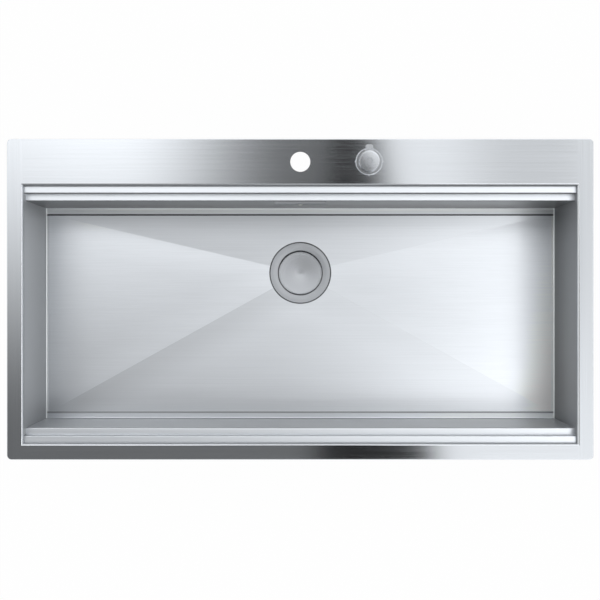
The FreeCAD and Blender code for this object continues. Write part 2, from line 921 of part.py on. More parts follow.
def make_pull_wire():
    barrel = rod(barrel_radius, vec(pivot_reach, -barrel_length / 2, wire_level),
                 vec(pivot_reach, barrel_length / 2, wire_level))
    wire = rod(wire_radius, vec(pivot_reach, 0, wire_level),
               vec(cover_face() + cover_wall, 0, wire_level))
    return around_waste(fused([barrel, wire]))


def ferrule_start():
    return cover_face() - cover_wall


def make_cable_ferrules():
    waste_end = rod(ferrule_radius, vec(ferrule_start(), waste_y, wire_level),
                    vec(ferrule_start() + ferrule_length, waste_y, wire_level))
    waste_bore = rod(ferrule_bore, vec(0, waste_y, wire_level),
                     vec(deck_length, waste_y, wire_level))
    drive_start = knob_x + drive_length / 2 - drive_end_wall
    drive_end = rod(ferrule_radius, vec(drive_start, knob_y, drive_wire_level),
                    vec(drive_start + ferrule_length, knob_y, drive_wire_level))
    drive_bore = rod(ferrule_bore, vec(0, knob_y, drive_wire_level),
                     vec(deck_length, knob_y, drive_wire_level))
    return Part.makeCompound([waste_end.cut(waste_bore), drive_end.cut(drive_bore)])


# The cable's route from the drive to the waste: straight runs joined by tangent arcs.
def cable_route():
    drive_x = knob_x + drive_length / 2 - drive_end_wall + ferrule_length
    drop_x = knob_x + cable_drop_run
    waste_x = ferrule_start() + ferrule_length
    wall_y = rear_wall + sheet + clip_wall + cable_radius
    return (
        vec(drive_x, knob_y, drive_wire_level),
        vec(knob_x + cable_turn_run, knob_y, drive_wire_level),
        vec(drop_x, knob_y - cable_shoulder_in, drive_wire_level - cable_shoulder_drop),
        vec(drop_x, wall_y, drive_wire_level - cable_wall_drop),
        vec(drop_x, wall_y, floor_low - cable_floor_gap),
        vec(drop_x - cable_sweep_out, wall_y - cable_sweep_in, wire_level - cable_sweep_drop),
        vec(drop_x - cable_return_out, wall_y - cable_return_in, wire_level - cable_return_drop),
        vec(waste_x + cable_entry_run, waste_y, wire_level),
        vec(waste_x, waste_y, wire_level),
    )


def route_wire(points):
    edges = []
    last = points[0]
    for index in range(1, len(points) - 1):
        here = points[index]
        back = points[index - 1].sub(here)
        ahead = points[index + 1].sub(here)
        shorter = min(back.Length, ahead.Length)
        half = (math.pi - back.getAngle(ahead)) / 2
        reach = bend_share * shorter
        radius = reach / math.tan(half)
        print("cable bend", index, "radius", round(radius, 1))
        start = here.add(back.normalize() * reach)
        end = here.add(ahead.normalize() * reach)
        centre_line = back.add(ahead).normalize()
        middle = here.add(centre_line * (radius / math.cos(half) - radius))
        edges.append(Part.LineSegment(last, start).toShape())
        edges.append(Part.Arc(start, middle, end).toShape())
        last = end
    edges.append(Part.LineSegment(last, points[-1]).toShape())
    return Part.Wire(edges)


def swept_tube(path, radius, start, direction):
    section = Part.Wire([Part.Circle(start, direction, radius).toShape()])
    return path.makePipeShell([section], True, False)


def make_cable():
    points = cable_route()
    path = route_wire(points)
    cable = swept_tube(path, cable_radius, points[0], points[1].sub(points[0]))
    expected = path.Length * math.pi * cable_radius ** 2
    print("cable length", round(path.Length, 1), "volume share", round(cable.Volume / expected, 4))
    return cable


# Clip: a block glued to the bowl's rear wall, round the middle of the cable's drop.
def make_cable_clip():
    face = rear_wall + sheet
    centre_y = face + clip_wall + cable_radius
    points = cable_route()
    level = (points[3].z + points[4].z) / 2
    x = points[3].x
    block = box(x - clip_width / 2, x + clip_width / 2, face, centre_y + cable_radius + clip_wall,
                level - clip_height / 2, level + clip_height / 2)
    hole = upright(cable_radius + thread_clearance, level - clip_height, level + clip_height,
                   x, centre_y)
    return block.cut(hole)


def pin_head_low():
    return cup_level + pin_bush_rise + pin_head_gap


def make_lift_pin():
    low = pivot_level + rocker_pad_radius + loose_clearance
    shank = upright(pin_radius, low, pin_head_low())
    head = upright(pin_head_radius, pin_head_low(), pin_head_low() + pin_head_height)
    return around_waste(fused([shank, head]))


def stem_low():
    return pin_head_low() + pin_head_height


def plug_rim_level():
    return flange_top - plug_sink


def plug_seal_low():
    return shoulder_level + loose_clearance


def make_strainer_stem():
    foot = upright(stem_foot_radius, stem_low(), stem_low() + stem_foot_height)
    post = upright(stem_radius, stem_low(), plug_rim_level() - plug_dish - plug_sheet)
    return around_waste(fused([foot, post]))


def make_strainer_basket():
    low = stem_low() + stem_foot_height
    top = low + basket_height
    shell = turned_profile((
        (stem_radius + running_clearance, low),
        (basket_bottom_radius, low),
        (basket_top_radius, top - basket_sheet),
        (basket_rim_radius, top - basket_sheet),
        (basket_rim_radius, top),
        (basket_top_radius - basket_sheet, top),
        (basket_bottom_radius - basket_sheet, low + basket_sheet),
        (stem_radius + running_clearance, low + basket_sheet),
    ))
    cuts = []
    for circle, count in zip(basket_hole_circles, basket_hole_counts):
        for index in range(count):
            angle = 2 * math.pi * index / count
            cuts.append(upright(basket_hole_radius, low - overrun, low + basket_sheet + overrun,
                                circle * math.cos(angle), circle * math.sin(angle)))
    slot_low = low + (basket_height - basket_slot_height) / 2
    for index in range(basket_slot_count):
        slot = box(basket_bottom_radius - overrun, basket_rim_radius + overrun,
                   -basket_slot_width / 2, basket_slot_width / 2,
                   slot_low, slot_low + basket_slot_height)
        cuts.append(turned(slot, index * full_turn / basket_slot_count))
    return around_waste(shell.cut(Part.makeCompound(cuts)))


def make_strainer_seal():
    return around_waste(ring(plug_seal_outer, plug_seal_inner, plug_seal_low(),
                             plug_seal_low() + plug_seal_height))


def make_seal_retainer():
    low = plug_seal_low() + loose_clearance
    plate = ring(retainer_radius, stem_radius + running_clearance, low, low + retainer_thickness)
    hub_top = plug_rim_level() - plug_dish - plug_sheet
    hub = ring(retainer_hub_radius, stem_radius + running_clearance, low, hub_top)
    return around_waste(fused([plate, hub]))


def make_strainer_cap():
    rim = plug_rim_level()
    skirt = plug_seal_low() + plug_seal_height
    return around_waste(turned_profile((
        (0, rim - plug_dish),
        (plug_radius - plug_rim_round, rim),
        (plug_radius, rim - plug_rim_chamfer),
        (plug_radius, skirt),
        (plug_radius - plug_skirt_width, skirt),
        (plug_radius - plug_skirt_width, rim - plug_sheet - plug_rim_chamfer),
        (0, rim - plug_dish - plug_sheet),
    )))


def at_knob(shape):
    return placed(shape, knob_x, knob_y)


def make_knob_gasket():
    return at_knob(ring(knob_gasket_radius, bush_radius + thread_clearance, deck_top, base_low))


# Base: a low collar with pips at its stops, in one piece with the threaded bush.
def make_knob_base():
    collar = turned_profile((
        (0, base_low),
        (base_radius, base_low),
        (base_radius, base_top - base_chamfer),
        (base_radius - base_chamfer, base_top),
        (0, base_top),
    ))
    bush = upright(bush_radius, bush_end, base_low)
    pips = []
    for angle in pip_angles:
        corners = (
            (base_radius - base_chamfer, -pip_width / 2, 0),
            (pip_reach, 0, 0),
            (base_radius - base_chamfer, pip_width / 2, 0),
            (base_radius - pip_width, 0, 0),
        )
        pip = prism(corners, lambda u, v: vec(u, v, base_low), vec(0, 0, pip_height))
        pips.append(turned(pip, angle))
    base = fused([collar, bush] + pips)
    bore = upright(spindle_radius + running_clearance, bush_end - overrun, base_top + overrun)
    return at_knob(base.cut(bore))


# Cap: the part that is turned, with a tab that points to the closed position.
def make_knob_cap():
    top = cap_low + cap_height
    disc = upright(cap_radius, cap_low, top)
    rims = [edge for edge in disc.Edges if edge.BoundBox.ZMin > top - cap_round]
    disc = disc.makeFillet(cap_round, rims)
    tab_corners = (
        (-tab_root_width / 2, cap_radius / 2, 0),
        (tab_root_width / 2, cap_radius / 2, 0),
        (tab_tip_width / 2, tab_reach, tab_corner),
        (-tab_tip_width / 2, tab_reach, tab_corner),
    )
    tab = prism(tab_corners, lambda u, v: vec(u, v, cap_low), vec(0, 0, tab_height))
    cap = fused([disc, tab])
    socket = upright(spindle_radius + running_clearance, cap_low - overrun,
                     cap_low + cap_socket_depth)
    grub_level = cap_low + grub_rise
    grub_hole = rod(grub_radius + thread_clearance, vec(0, -cap_radius - overrun, grub_level),
                    vec(0, 0, grub_level))
    return at_knob(cap.cut(socket).cut(grub_hole))


def make_grub_screw():
    level = cap_low + grub_rise
    start = -spindle_radius - running_clearance
    return at_knob(rod(grub_radius, vec(0, start, level), vec(0, start - grub_length, level)))


def make_knob_spindle():
    low = eccentric_top - eccentric_hub
    return at_knob(upright(spindle_radius, low, cap_low + cap_socket_depth))


def make_locknut_washer():
    return at_knob(ring(locknut_washer_radius, bush_radius + thread_clearance, locknut_top, deck_under))


def make_locknut():
    step = math.radians(full_turn / locknut_sides)
    corner_radius = locknut_width / 2 / math.cos(step / 2)
    corners = [(corner_radius * math.cos(step * index), corner_radius * math.sin(step * index), 0)
               for index in range(locknut_sides)]
    nut = prism(corners, lambda u, v: vec(u, v, locknut_low), vec(0, 0, locknut_height))
    hole = upright(bush_radius + thread_clearance, locknut_low - overrun, locknut_top + overrun)
    return at_knob(nut.cut(hole))


# Eccentric: a disc on the spindle's foot whose pin drives the yoke.
def make_eccentric():
    low = eccentric_top - eccentric_hub - eccentric_floor
    disc = upright(eccentric_radius, low, eccentric_top)
    bore = upright(spindle_radius + running_clearance, low + eccentric_floor, eccentric_top + overrun)
    angle = math.radians(eccentric_start)
    pin = upright(eccentric_pin_radius, drive_floor + loose_clearance, low,
                  eccentric_throw * math.cos(angle), eccentric_throw * math.sin(angle))
    return at_knob(fused([disc.cut(bore), pin]))


def yoke_middle():
    return eccentric_throw * math.cos(math.radians(eccentric_start))


def make_yoke():
    low = drive_floor + loose_clearance
    half_y = drive_depth / 2 - drive_side_wall - loose_clearance
    middle = yoke_middle()
    plate = box(middle - yoke_length / 2, middle + yoke_length / 2, -half_y, half_y,
                low, low + yoke_thickness)
    slot_half = eccentric_pin_radius + loose_clearance
    slot_far = -eccentric_throw - eccentric_pin_radius - yoke_slot_margin
    slot_near = eccentric_pin_radius + yoke_slot_margin - middle
    slot = box(middle - slot_half, middle + slot_half, slot_far, slot_near,
               low - overrun, low + yoke_thickness + overrun)
    hole = rod(wire_radius + running_clearance, vec(drive_wire_start(), 0, drive_wire_level),
               vec(drive_length, 0, drive_wire_level))
    return at_knob(plate.cut(slot).cut(hole))


def drive_wire_start():
    return yoke_middle() + yoke_length / 2 - yoke_hold


def make_drive_wire():
    end = drive_length / 2 + wire_travel
    return at_knob(rod(wire_radius, vec(drive_wire_start(), 0, drive_wire_level),
                       vec(end, 0, drive_wire_level)))


def make_drive_housing():
    half_x = drive_length / 2
    half_y = drive_depth / 2
    roof = bush_end - drive_roof_gap
    shell = box(-half_x, half_x, -half_y, half_y, drive_floor, locknut_low)
    boss = rod(ferrule_boss_radius, vec(half_x - drive_end_wall, 0, drive_wire_level),
               vec(half_x + ferrule_boss_length, 0, drive_wire_level))
    block = box(half_x - drive_end_wall, half_x + ferrule_boss_length, -half_y, half_y,
                drive_floor - ferrule_boss_radius - overrun, drive_floor)
    body = fused([shell, boss.cut(block)])
    chamber = box(drive_end_wall - half_x, half_x - drive_end_wall, drive_side_wall - half_y,
                  half_y - drive_side_wall, drive_floor - overrun, roof)
    neck = upright(bush_radius + thread_clearance, bush_end, locknut_low + overrun)
    throat = upright(eccentric_radius + loose_clearance, roof - overrun, bush_end + overrun)
    ferrule_hole = rod(ferrule_radius + thread_clearance, vec(0, 0, drive_wire_level),
                       vec(drive_length, 0, drive_wire_level))
    return at_knob(body.cut(chamber).cut(neck).cut(throat).cut(ferrule_hole))


def make_drive_lid():
    half_x = drive_length / 2
    half_y = drive_depth / 2
    return at_knob(box(-half_x, half_x, -half_y, half_y, drive_floor - drive_lid_thickness,
                       drive_floor))


# Cover over the overflow: a shallow steel tray against the wall, open along its foot.
def make_overflow_cover():
    half = overflow_cover_width / 2
    low = overflow_top - overflow_cover_height
    front = rear_wall - overflow_cover_proud
    wall = overflow_cover_sheet
    tray = box(-half, half, front, rear_wall, low, overflow_top)
    hollow = box(wall - half, half - wall, front + wall, rear_wall + overrun,
                 low - overrun, overflow_top - wall)
    cover = tray.cut(hollow)
    count = int((overflow_cover_width / 2 - overflow_inlet_width) / overflow_inlet_pitch)
    for index in range(-count, count + 1):
        middle = index * overflow_inlet_pitch
        inlet = box(middle - overflow_inlet_width / 2, middle + overflow_inlet_width / 2,
                    front - overrun, front + wall + overrun / 2,
                    low + overflow_inlet_height, low + 2 * overflow_inlet_height)
        cover = cover.cut(inlet)
    hole = rod(overflow_screw_radius + thread_clearance, vec(0, front - overrun, overflow_middle),
               vec(0, rear_wall, overflow_middle))
    return cover.cut(hole)


def make_overflow_screw():
    front = rear_wall - overflow_cover_proud
    shank = rod(overflow_screw_radius, vec(0, front, overflow_middle),
                vec(0, front + overflow_screw_length, overflow_middle))
    head = Part.makeCone(overflow_screw_head, overflow_screw_head - overflow_screw_dish / 2,
                         overflow_screw_dish, vec(0, front, overflow_middle), vec(0, -1, 0))
    return fused([shank, head])


def make_overflow_gasket():
    face = rear_wall + sheet
    plate = overflow_slot(overflow_gasket_margin, face, face + overflow_gasket_thickness)
    window = overflow_slot(0, face - overrun, face + overflow_gasket_thickness + overrun)
    return plate.cut(window)


def overflow_box_face():
    return rear_wall + sheet + overflow_gasket_thickness


# Housing behind the wall: a box that gathers the overflow and drops it into the hose.
def make_overflow_housing():
    face = overflow_box_face()
    half = overflow_slot_width / 2 + overflow_gasket_margin
    rise = overflow_slot_height / 2 + overflow_gasket_margin
    back = face + overflow_box_depth
    wall = overflow_box_wall
    low = overflow_middle - rise
    shell = box(-half, half, face, back, low, overflow_middle + rise)
    hollow = box(wall - half, half - wall, face - overrun, back - wall,
                 low + wall, overflow_middle + rise - wall)
    post = rod(overflow_post_radius, vec(0, face, overflow_middle), vec(0, back, overflow_middle))
    spigot = upright(spigot_radius, low - spigot_length, low + wall, 0, hose_y)
    housing = fused([shell.cut(hollow), post, spigot])
    drain = upright(spigot_bore, low - spigot_length - overrun, low + wall + overrun / 2, 0, hose_y)
    screw_hole = rod(overflow_screw_radius + thread_clearance, vec(0, face - overrun, overflow_middle),
                     vec(0, back - wall, overflow_middle))
    return housing.cut(drain).cut(screw_hole)


def hose_top():
    low = overflow_middle - overflow_slot_height / 2 - overflow_gasket_margin
    return low - spigot_length + hose_overlap


def hose_end_y():
    return waste_y + pot_radius + spigot_length - hose_overlap


def hose_path_length():
    drop = hose_top() - pot_inlet_level - hose_bend
    run = hose_y - hose_bend - hose_end_y()
    return drop, math.pi / 2 * hose_bend, run


# Point and direction at a distance down the hose: straight drop, quarter bend, straight run.
def hose_station(distance):
    drop, arc, run = hose_path_length()
    if distance <= drop:
        return vec(0, hose_y, hose_top() - distance), vec(0, 0, -1)
    if distance <= drop + arc:
        angle = (distance - drop) / hose_bend
        centre_y = hose_y - hose_bend
        centre_z = pot_inlet_level + hose_bend
        point = vec(0, centre_y + hose_bend * math.cos(angle), centre_z - hose_bend * math.sin(angle))
        return point, vec(0, -math.sin(angle), -math.cos(angle))
    past = distance - drop - arc
    return vec(0, hose_y - hose_bend - past, pot_inlet_level), vec(0, -1, 0)


def hose_circle(distance, radius):
    point, direction = hose_station(distance)
    side = direction.cross(vec(1, 0, 0))
    turn = FreeCAD.Rotation(vec(1, 0, 0), side, direction, "XZY")
    circle = Part.Wire([Part.Circle(vec(0, 0, 0), vec(0, 0, 1), radius).toShape()])
    circle.Placement = FreeCAD.Placement(point, turn)
    return circle


def make_overflow_hose():
    length = sum(hose_path_length())
    cuff = hose_cuff_length
    count = int((length - 2 * cuff) / hose_rib_pitch)
    pitch = (length - 2 * cuff) / count
    circles = [hose_circle(0, hose_cuff), hose_circle(cuff, hose_cuff)]
    for index in range(count):
        start = cuff + index * pitch
        flank = hose_rib_flank_share * pitch
        crest = hose_rib_crest_share * pitch
        circles.append(hose_circle(start + flank, hose_root))
        circles.append(hose_circle(start + 2 * flank, hose_crest))
        circles.append(hose_circle(start + 2 * flank + crest, hose_crest))
        circles.append(hose_circle(start + 3 * flank + crest, hose_root))
    circles.append(hose_circle(length - cuff, hose_cuff))
    circles.append(hose_circle(length, hose_cuff))
    outside = Part.makeLoft(circles, True, True)
    drop, arc, run = hose_path_length()
    start, down = hose_station(0)
    bend_start = hose_station(drop)[0]
    bend_middle = hose_station(drop + arc / 2)[0]
    bend_end = hose_station(drop + arc)[0]
    end = hose_station(length)[0]
    path = Part.Wire([
        Part.LineSegment(start, bend_start).toShape(),
        Part.Arc(bend_start, bend_middle, bend_end).toShape(),
        Part.LineSegment(bend_end, end).toShape(),
    ])
    print("hose length", round(length, 1), "ribs", count)
    return outside.cut(swept_tube(path, hose_bore, start, down))


def make_hose_clamps():
    inner = hose_cuff + running_clearance
    outer = inner + hose_clamp_band
    half = hose_clamp_width / 2
    band = ring(outer, inner, -half, half)
    lock = box(-half, half, outer - hose_clamp_band / 2, outer + hose_clamp_lock, -half, half)
    clamp = fused([band, lock])
    upper = clamp.translated(vec(0, hose_y, hose_top() - hose_overlap / 2))
    lower = clamp.copy()
    lower.rotate(vec(0, 0, 0), vec(1, 0, 0), quarter_turn)
    lower.translate(vec(0, hose_end_y() + hose_overlap / 2, pot_inlet_level))
    return Part.makeCompound([upper, lower])


def save(name, shape):
    solids = len(shape.Solids)
    print(name, "solids", solids, "valid", shape.isValid(), "volume", round(shape.Volume, 1))
    shape.exportStep(os.path.join("parts", name + ".step"))


def main():
    os.makedirs("parts", exist_ok=True)
    formed = formed_sheet()
    save("deck", make_deck(formed))
    save("bowl_trough", make_bowl_trough(formed))
    save("end_wall_left", make_end_wall(formed, -1))
    save("end_wall_right", make_end_wall(formed, 1))
    pieces = {
        "tap_hole_plate": make_tap_hole_plate,
        "rim_seal": make_rim_seal,
        "clamp_anchors": make_clamp_anchors,
        "clamps": make_clamps,
        "clamp_screws": make_clamp_screws,
        "floor_pads": make_floor_pads,
        "end_pads": make_end_pads,
        "waste_flange": make_waste_flange,
        "flange_seal": make_flange_seal,
        "pot_gasket": make_pot_gasket,
        "waste_pot": make_waste_pot,
        "waste_screws": make_waste_screws,
        "lever_seal": make_lever_seal,
        "lever_cover": make_lever_cover,
        "cover_screws": make_cover_screws,
        "rocker_pin": make_rocker_pin,
        "rocker": make_rocker,
        "pull_wire": make_pull_wire,
        "cable_ferrules": make_cable_ferrules,
        "cable": make_cable,
        "cable_clip": make_cable_clip,
        "lift_pin": make_lift_pin,
        "strainer_stem": make_strainer_stem,
        "strainer_basket": make_strainer_basket,
        "strainer_seal": make_strainer_seal,
        "seal_retainer": make_seal_retainer,
        "strainer_cap": make_strainer_cap,
        "knob_gasket": make_knob_gasket,
        "knob_base": make_knob_base,
        "knob_cap": make_knob_cap,
        "grub_screw": make_grub_screw,
        "knob_spindle": make_knob_spindle,
        "locknut_washer": make_locknut_washer,
        "locknut": make_locknut,
        "eccentric": make_eccentric,
        "yoke": make_yoke,
        "drive_wire": make_drive_wire,
        "drive_housing": make_drive_housing,
        "drive_lid": make_drive_lid,
        "overflow_cover": make_overflow_cover,
        "overflow_screw": make_overflow_screw,
        "overflow_gasket": make_overflow_gasket,
        "overflow_housing": make_overflow_housing,
        "overflow_hose": make_overflow_hose,
        "hose_clamps": make_hose_clamps,
    }
    for name, make in pieces.items():
        save(name, make())


main()
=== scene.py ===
import bpy
import json
import math
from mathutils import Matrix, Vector


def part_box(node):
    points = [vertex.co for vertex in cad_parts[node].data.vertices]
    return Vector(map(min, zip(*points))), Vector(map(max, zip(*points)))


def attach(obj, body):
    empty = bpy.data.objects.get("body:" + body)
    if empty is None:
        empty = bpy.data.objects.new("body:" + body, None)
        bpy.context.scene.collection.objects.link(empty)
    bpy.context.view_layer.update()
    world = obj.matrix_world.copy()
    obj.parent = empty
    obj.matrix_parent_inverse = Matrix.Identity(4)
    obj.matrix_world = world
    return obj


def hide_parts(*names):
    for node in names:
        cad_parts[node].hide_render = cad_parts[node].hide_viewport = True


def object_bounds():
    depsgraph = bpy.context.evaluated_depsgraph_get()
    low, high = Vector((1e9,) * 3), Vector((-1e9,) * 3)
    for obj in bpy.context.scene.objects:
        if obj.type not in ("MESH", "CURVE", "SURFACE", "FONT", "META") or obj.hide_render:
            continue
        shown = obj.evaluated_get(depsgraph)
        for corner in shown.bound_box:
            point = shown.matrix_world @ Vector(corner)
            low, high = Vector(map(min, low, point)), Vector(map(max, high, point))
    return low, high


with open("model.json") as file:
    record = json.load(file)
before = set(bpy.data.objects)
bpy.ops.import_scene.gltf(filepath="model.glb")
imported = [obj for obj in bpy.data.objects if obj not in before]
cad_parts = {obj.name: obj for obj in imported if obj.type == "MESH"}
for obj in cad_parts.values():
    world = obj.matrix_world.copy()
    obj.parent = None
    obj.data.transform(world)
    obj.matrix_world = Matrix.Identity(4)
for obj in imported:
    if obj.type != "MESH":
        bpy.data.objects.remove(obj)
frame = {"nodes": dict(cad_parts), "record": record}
cadLow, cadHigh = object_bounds()
nodes = frame["nodes"]
record = frame["record"]
print("frame loaded with", len(nodes), "nodes")

# Upright axes of the waste and the knob.
wastePlace = (0.0, 0.0505)
knobPlace = (0.120, 0.240)

# Helpers for modelling.

helperLook = {
    "broadFaceWeight": 100,
    "bevelSegments": 2,
    "bevelAngle": 40,
    "startSize": 0.002,  # a face that is merged into a profile's first point
    "weldGap": 0.000002,
    "copyWeldGap": 0.000005,
    "flatAngle": 1.0,
}


def clearSelection():
    if bpy.context.object and bpy.context.object.mode != "OBJECT":
        bpy.ops.object.mode_set(mode="OBJECT")
    bpy.ops.object.select_all(action="DESELECT")


def selectOnly(*objects):
    clearSelection()
    for item in objects:
        item.select_set(True)
    bpy.context.view_layer.objects.active = objects[0]


# Smooth where faces meet gently, and level across the broad faces.
def shadeByAngle(item, degrees):
    selectOnly(item)
    bpy.ops.object.shade_smooth_by_angle(angle=math.radians(degrees))
    even = item.modifiers.new("even", "WEIGHTED_NORMAL")
    even.keep_sharp = True
    even.weight = helperLook["broadFaceWeight"]
    bpy.ops.object.modifier_apply(modifier="even")


# Camera, straight above the deck.

cameraLook = {
    "x": -0.0005,
    "y": -0.0012,
    "height": 2.1944,
    "lens": 75.37,
    "sensorWidth": 36,
    "farEnd": 100,
}


def placeCamera(look):
    clearSelection()
    place = (look["x"], look["y"], look["height"])
    bpy.ops.object.camera_add(location=place, rotation=(0, 0, 0))
    camera = bpy.context.object
    camera.name = "camera"
    camera.data.lens = look["lens"]
    camera.data.sensor_width = look["sensorWidth"]
    camera.data.clip_end = look["farEnd"]
    bpy.context.scene.camera = camera


placeCamera(cameraLook)
print("camera placed")

# Node helpers.


# A number or a colour is set on the socket itself, anything else is linked to it.
def feed(tree, socket, value):
    if isinstance(value, (int, float)):
        socket.default_value = value
    elif isinstance(value, tuple):
        socket.default_value = (*value, 1)
    else:
        tree.links.new(value, socket)


def addNode(tree, kind, group=None, **inputs):
    node = tree.nodes.new(kind)
    if group:
        node.node_tree = group
    for key, value in inputs.items():
        feed(tree, node.inputs[key], value)
    return node


def mathNode(tree, operation, *values):
    node = tree.nodes.new("ShaderNodeMath")
    node.operation = operation
    for socket, value in zip(node.inputs, values):
        feed(tree, socket, value)
    return node.outputs[0]


def chain(tree, operation, values):
    total = values[0]
    for value in values[1:]:
        total = mathNode(tree, operation, total, value)
    return total


def plus(tree, *values):
    return chain(tree, "ADD", values)


def times(tree, *values):
    return chain(tree, "MULTIPLY", values)


def largest(tree, *values):
    return chain(tree, "MAXIMUM", values)


def minus(tree, first, second):
    return mathNode(tree, "SUBTRACT", first, second)


def timesPlus(tree, value, factor, more):
    return mathNode(tree, "MULTIPLY_ADD", value, factor, more)


def above(tree, value, level):
    return mathNode(tree, "GREATER_THAN", value, level)


def below(tree, value, level):
    return mathNode(tree, "LESS_THAN", value, level)


def absolute(tree, value):
    return mathNode(tree, "ABSOLUTE", value)


def rampNode(tree, value, fromLow, fromHigh, toLow=0.0, toHigh=1.0):
    node = tree.nodes.new("ShaderNodeMapRange")
    node.interpolation_type = "SMOOTHSTEP"
    for name, level in (("Value", value), ("From Min", fromLow), ("From Max", fromHigh),
                        ("To Min", toLow), ("To Max", toHigh)):
        feed(tree, node.inputs[name], level)
    return node.outputs["Result"]


# The mix node's sockets for each kind: factor, first, second and result.
mixSockets = {"FLOAT": (0, 2, 3, 0), "VECTOR": (0, 4, 5, 1), "RGBA": (0, 6, 7, 2)}


def mixNode(tree, kind, *values):
    node = tree.nodes.new("ShaderNodeMix")
    node.data_type = kind
    *places, result = mixSockets[kind]
    for place, value in zip(places, values):
        feed(tree, node.inputs[place], value)
    return node.outputs[result]


def mixFloat(tree, factor, first, second):
    return mixNode(tree, "FLOAT", factor, first, second)


def scaledColour(tree, colour, factor):
    node = tree.nodes.new("ShaderNodeVectorMath")
    node.operation = "SCALE"
    feed(tree, node.inputs[0], colour)
    feed(tree, node.inputs["Scale"], factor)
    return node.outputs[0]


def splitCoords(tree, coords):
    split = addNode(tree, "ShaderNodeSeparateXYZ", Vector=coords)
    return split.outputs["X"], split.outputs["Y"], split.outputs["Z"]


def stretched(tree, coords, scale=(1, 1, 1), place=(0, 0, 0)):
    node = addNode(tree, "ShaderNodeMapping", Vector=coords)
    node.inputs["Location"].default_value = place
    node.inputs["Scale"].default_value = scale
    return node.outputs["Vector"]


def distanceFrom(tree, coords, place):
    x, y = splitCoords(tree, stretched(tree, coords, place=(-place[0], -place[1], 0)))[:2]
    squares = plus(tree, mathNode(tree, "POWER", x, 2.0), mathNode(tree, "POWER", y, 2.0))
    return mathNode(tree, "SQRT", squares)


# 1 near a level or a line, 0 away from it.
def nearTo(tree, value, level, edge):
    gap = absolute(tree, minus(tree, value, level))
    return rampNode(tree, gap, edge[0], edge[1], 1.0, 0.0)


# Patterns shared by several finishes.

patternTones = (0.3, 0.7)  # where a pattern's tone starts and stops changing the finish
grainLook = {
    "fineDetail": 2.0,
    "fineRoughness": 0.6,
    "broadDetail": 1.0,
    "broadShare": 0.18,
    "broadStretch": (0.16, 0.16, 0.16),
}
mouldedLook = {
    "pebble": 900.0,
    "cloud": 40.0,
    "cloudDetail": 3.0,
    "bumpDepth": 0.00002,
    "toneSpread": 0.12,
    "roughSpread": (-0.05, 0.06),
}


# A vector and some numbers go in, a tone and a height come out.
def newPattern(name, *numbers):
    group = bpy.data.node_groups.new(name, "ShaderNodeTree")
    sockets = [("Vector", "INPUT", "NodeSocketVector")]
    sockets += [(label, "INPUT", "NodeSocketFloat") for label in numbers]
    sockets += [(label, "OUTPUT", "NodeSocketFloat") for label in ("Tone", "Height")]
    for label, way, kind in sockets:
        group.interface.new_socket(name=label, in_out=way, socket_type=kind)
    start = group.nodes.new("NodeGroupInput").outputs
    end = group.nodes.new("NodeGroupOutput").inputs
    return group, start, end


# Brushing: long thin streaks. The vector comes in already stretched along the brush.
def makeGrainPattern(look):
    group, start, end = newPattern("brushGrain")
    fine = addNode(group, "ShaderNodeTexNoise", Vector=start["Vector"], Scale=1.0,
                   Detail=look["fineDetail"], Roughness=look["fineRoughness"])
    wide = stretched(group, start["Vector"], look["broadStretch"])
    broad = addNode(group, "ShaderNodeTexNoise", Vector=wide, Scale=1.0, Detail=look["broadDetail"])
    tone = mixFloat(group, look["broadShare"], fine.outputs["Fac"], broad.outputs["Fac"])
    feed(group, end["Tone"], tone)
    feed(group, end["Height"], fine.outputs["Fac"])
    return group


# Moulded plastic and rubber: faint mottling and a fine pebbled skin.
def makeSkinPattern(look):
    group, start, end = newPattern("mouldedSkin", "Pebble", "Cloud")
    pebble = addNode(group, "ShaderNodeTexVoronoi", Vector=start["Vector"], Scale=start["Pebble"])
    cloud = addNode(group, "ShaderNodeTexNoise", Vector=start["Vector"], Scale=start["Cloud"],
                    Detail=look["cloudDetail"])
    feed(group, end["Tone"], cloud.outputs["Fac"])
    feed(group, end["Height"], pebble.outputs["Distance"])
    return group


brushGrain = makeGrainPattern(grainLook)
mouldedSkin = makeSkinPattern(mouldedLook)


def startMaterial(name, roughness, metallic):
    material = bpy.data.materials.new(name)
    material.use_nodes = True
    tree = material.node_tree
    shader = tree.nodes["Principled BSDF"]
    shader.inputs["Roughness"].default_value = roughness
    shader.inputs["Metallic"].default_value = metallic
    coords = tree.nodes.new("ShaderNodeTexCoord").outputs["Object"]
    return material, tree, shader, coords


# Colour and roughness follow a pattern's tone, and the bump follows its height.
def layPattern(tree, shader, pattern, colours, roughness, bumpDepth):
    tone = pattern.outputs["Tone"]
    colour = mixNode(tree, "RGBA", rampNode(tree, tone, *patternTones), *colours)
    rough = rampNode(tree, tone, *patternTones, *roughness)
    bump = addNode(tree, "ShaderNodeBump", Strength=1.0, Distance=bumpDepth,
                   Height=pattern.outputs["Height"])
    feed(tree, shader.inputs["Base Color"], colour)
    feed(tree, shader.inputs["Roughness"], rough)
    feed(tree, shader.inputs["Normal"], bump.outputs["Normal"])
    return colour, rough


# Brushed sheet steel.

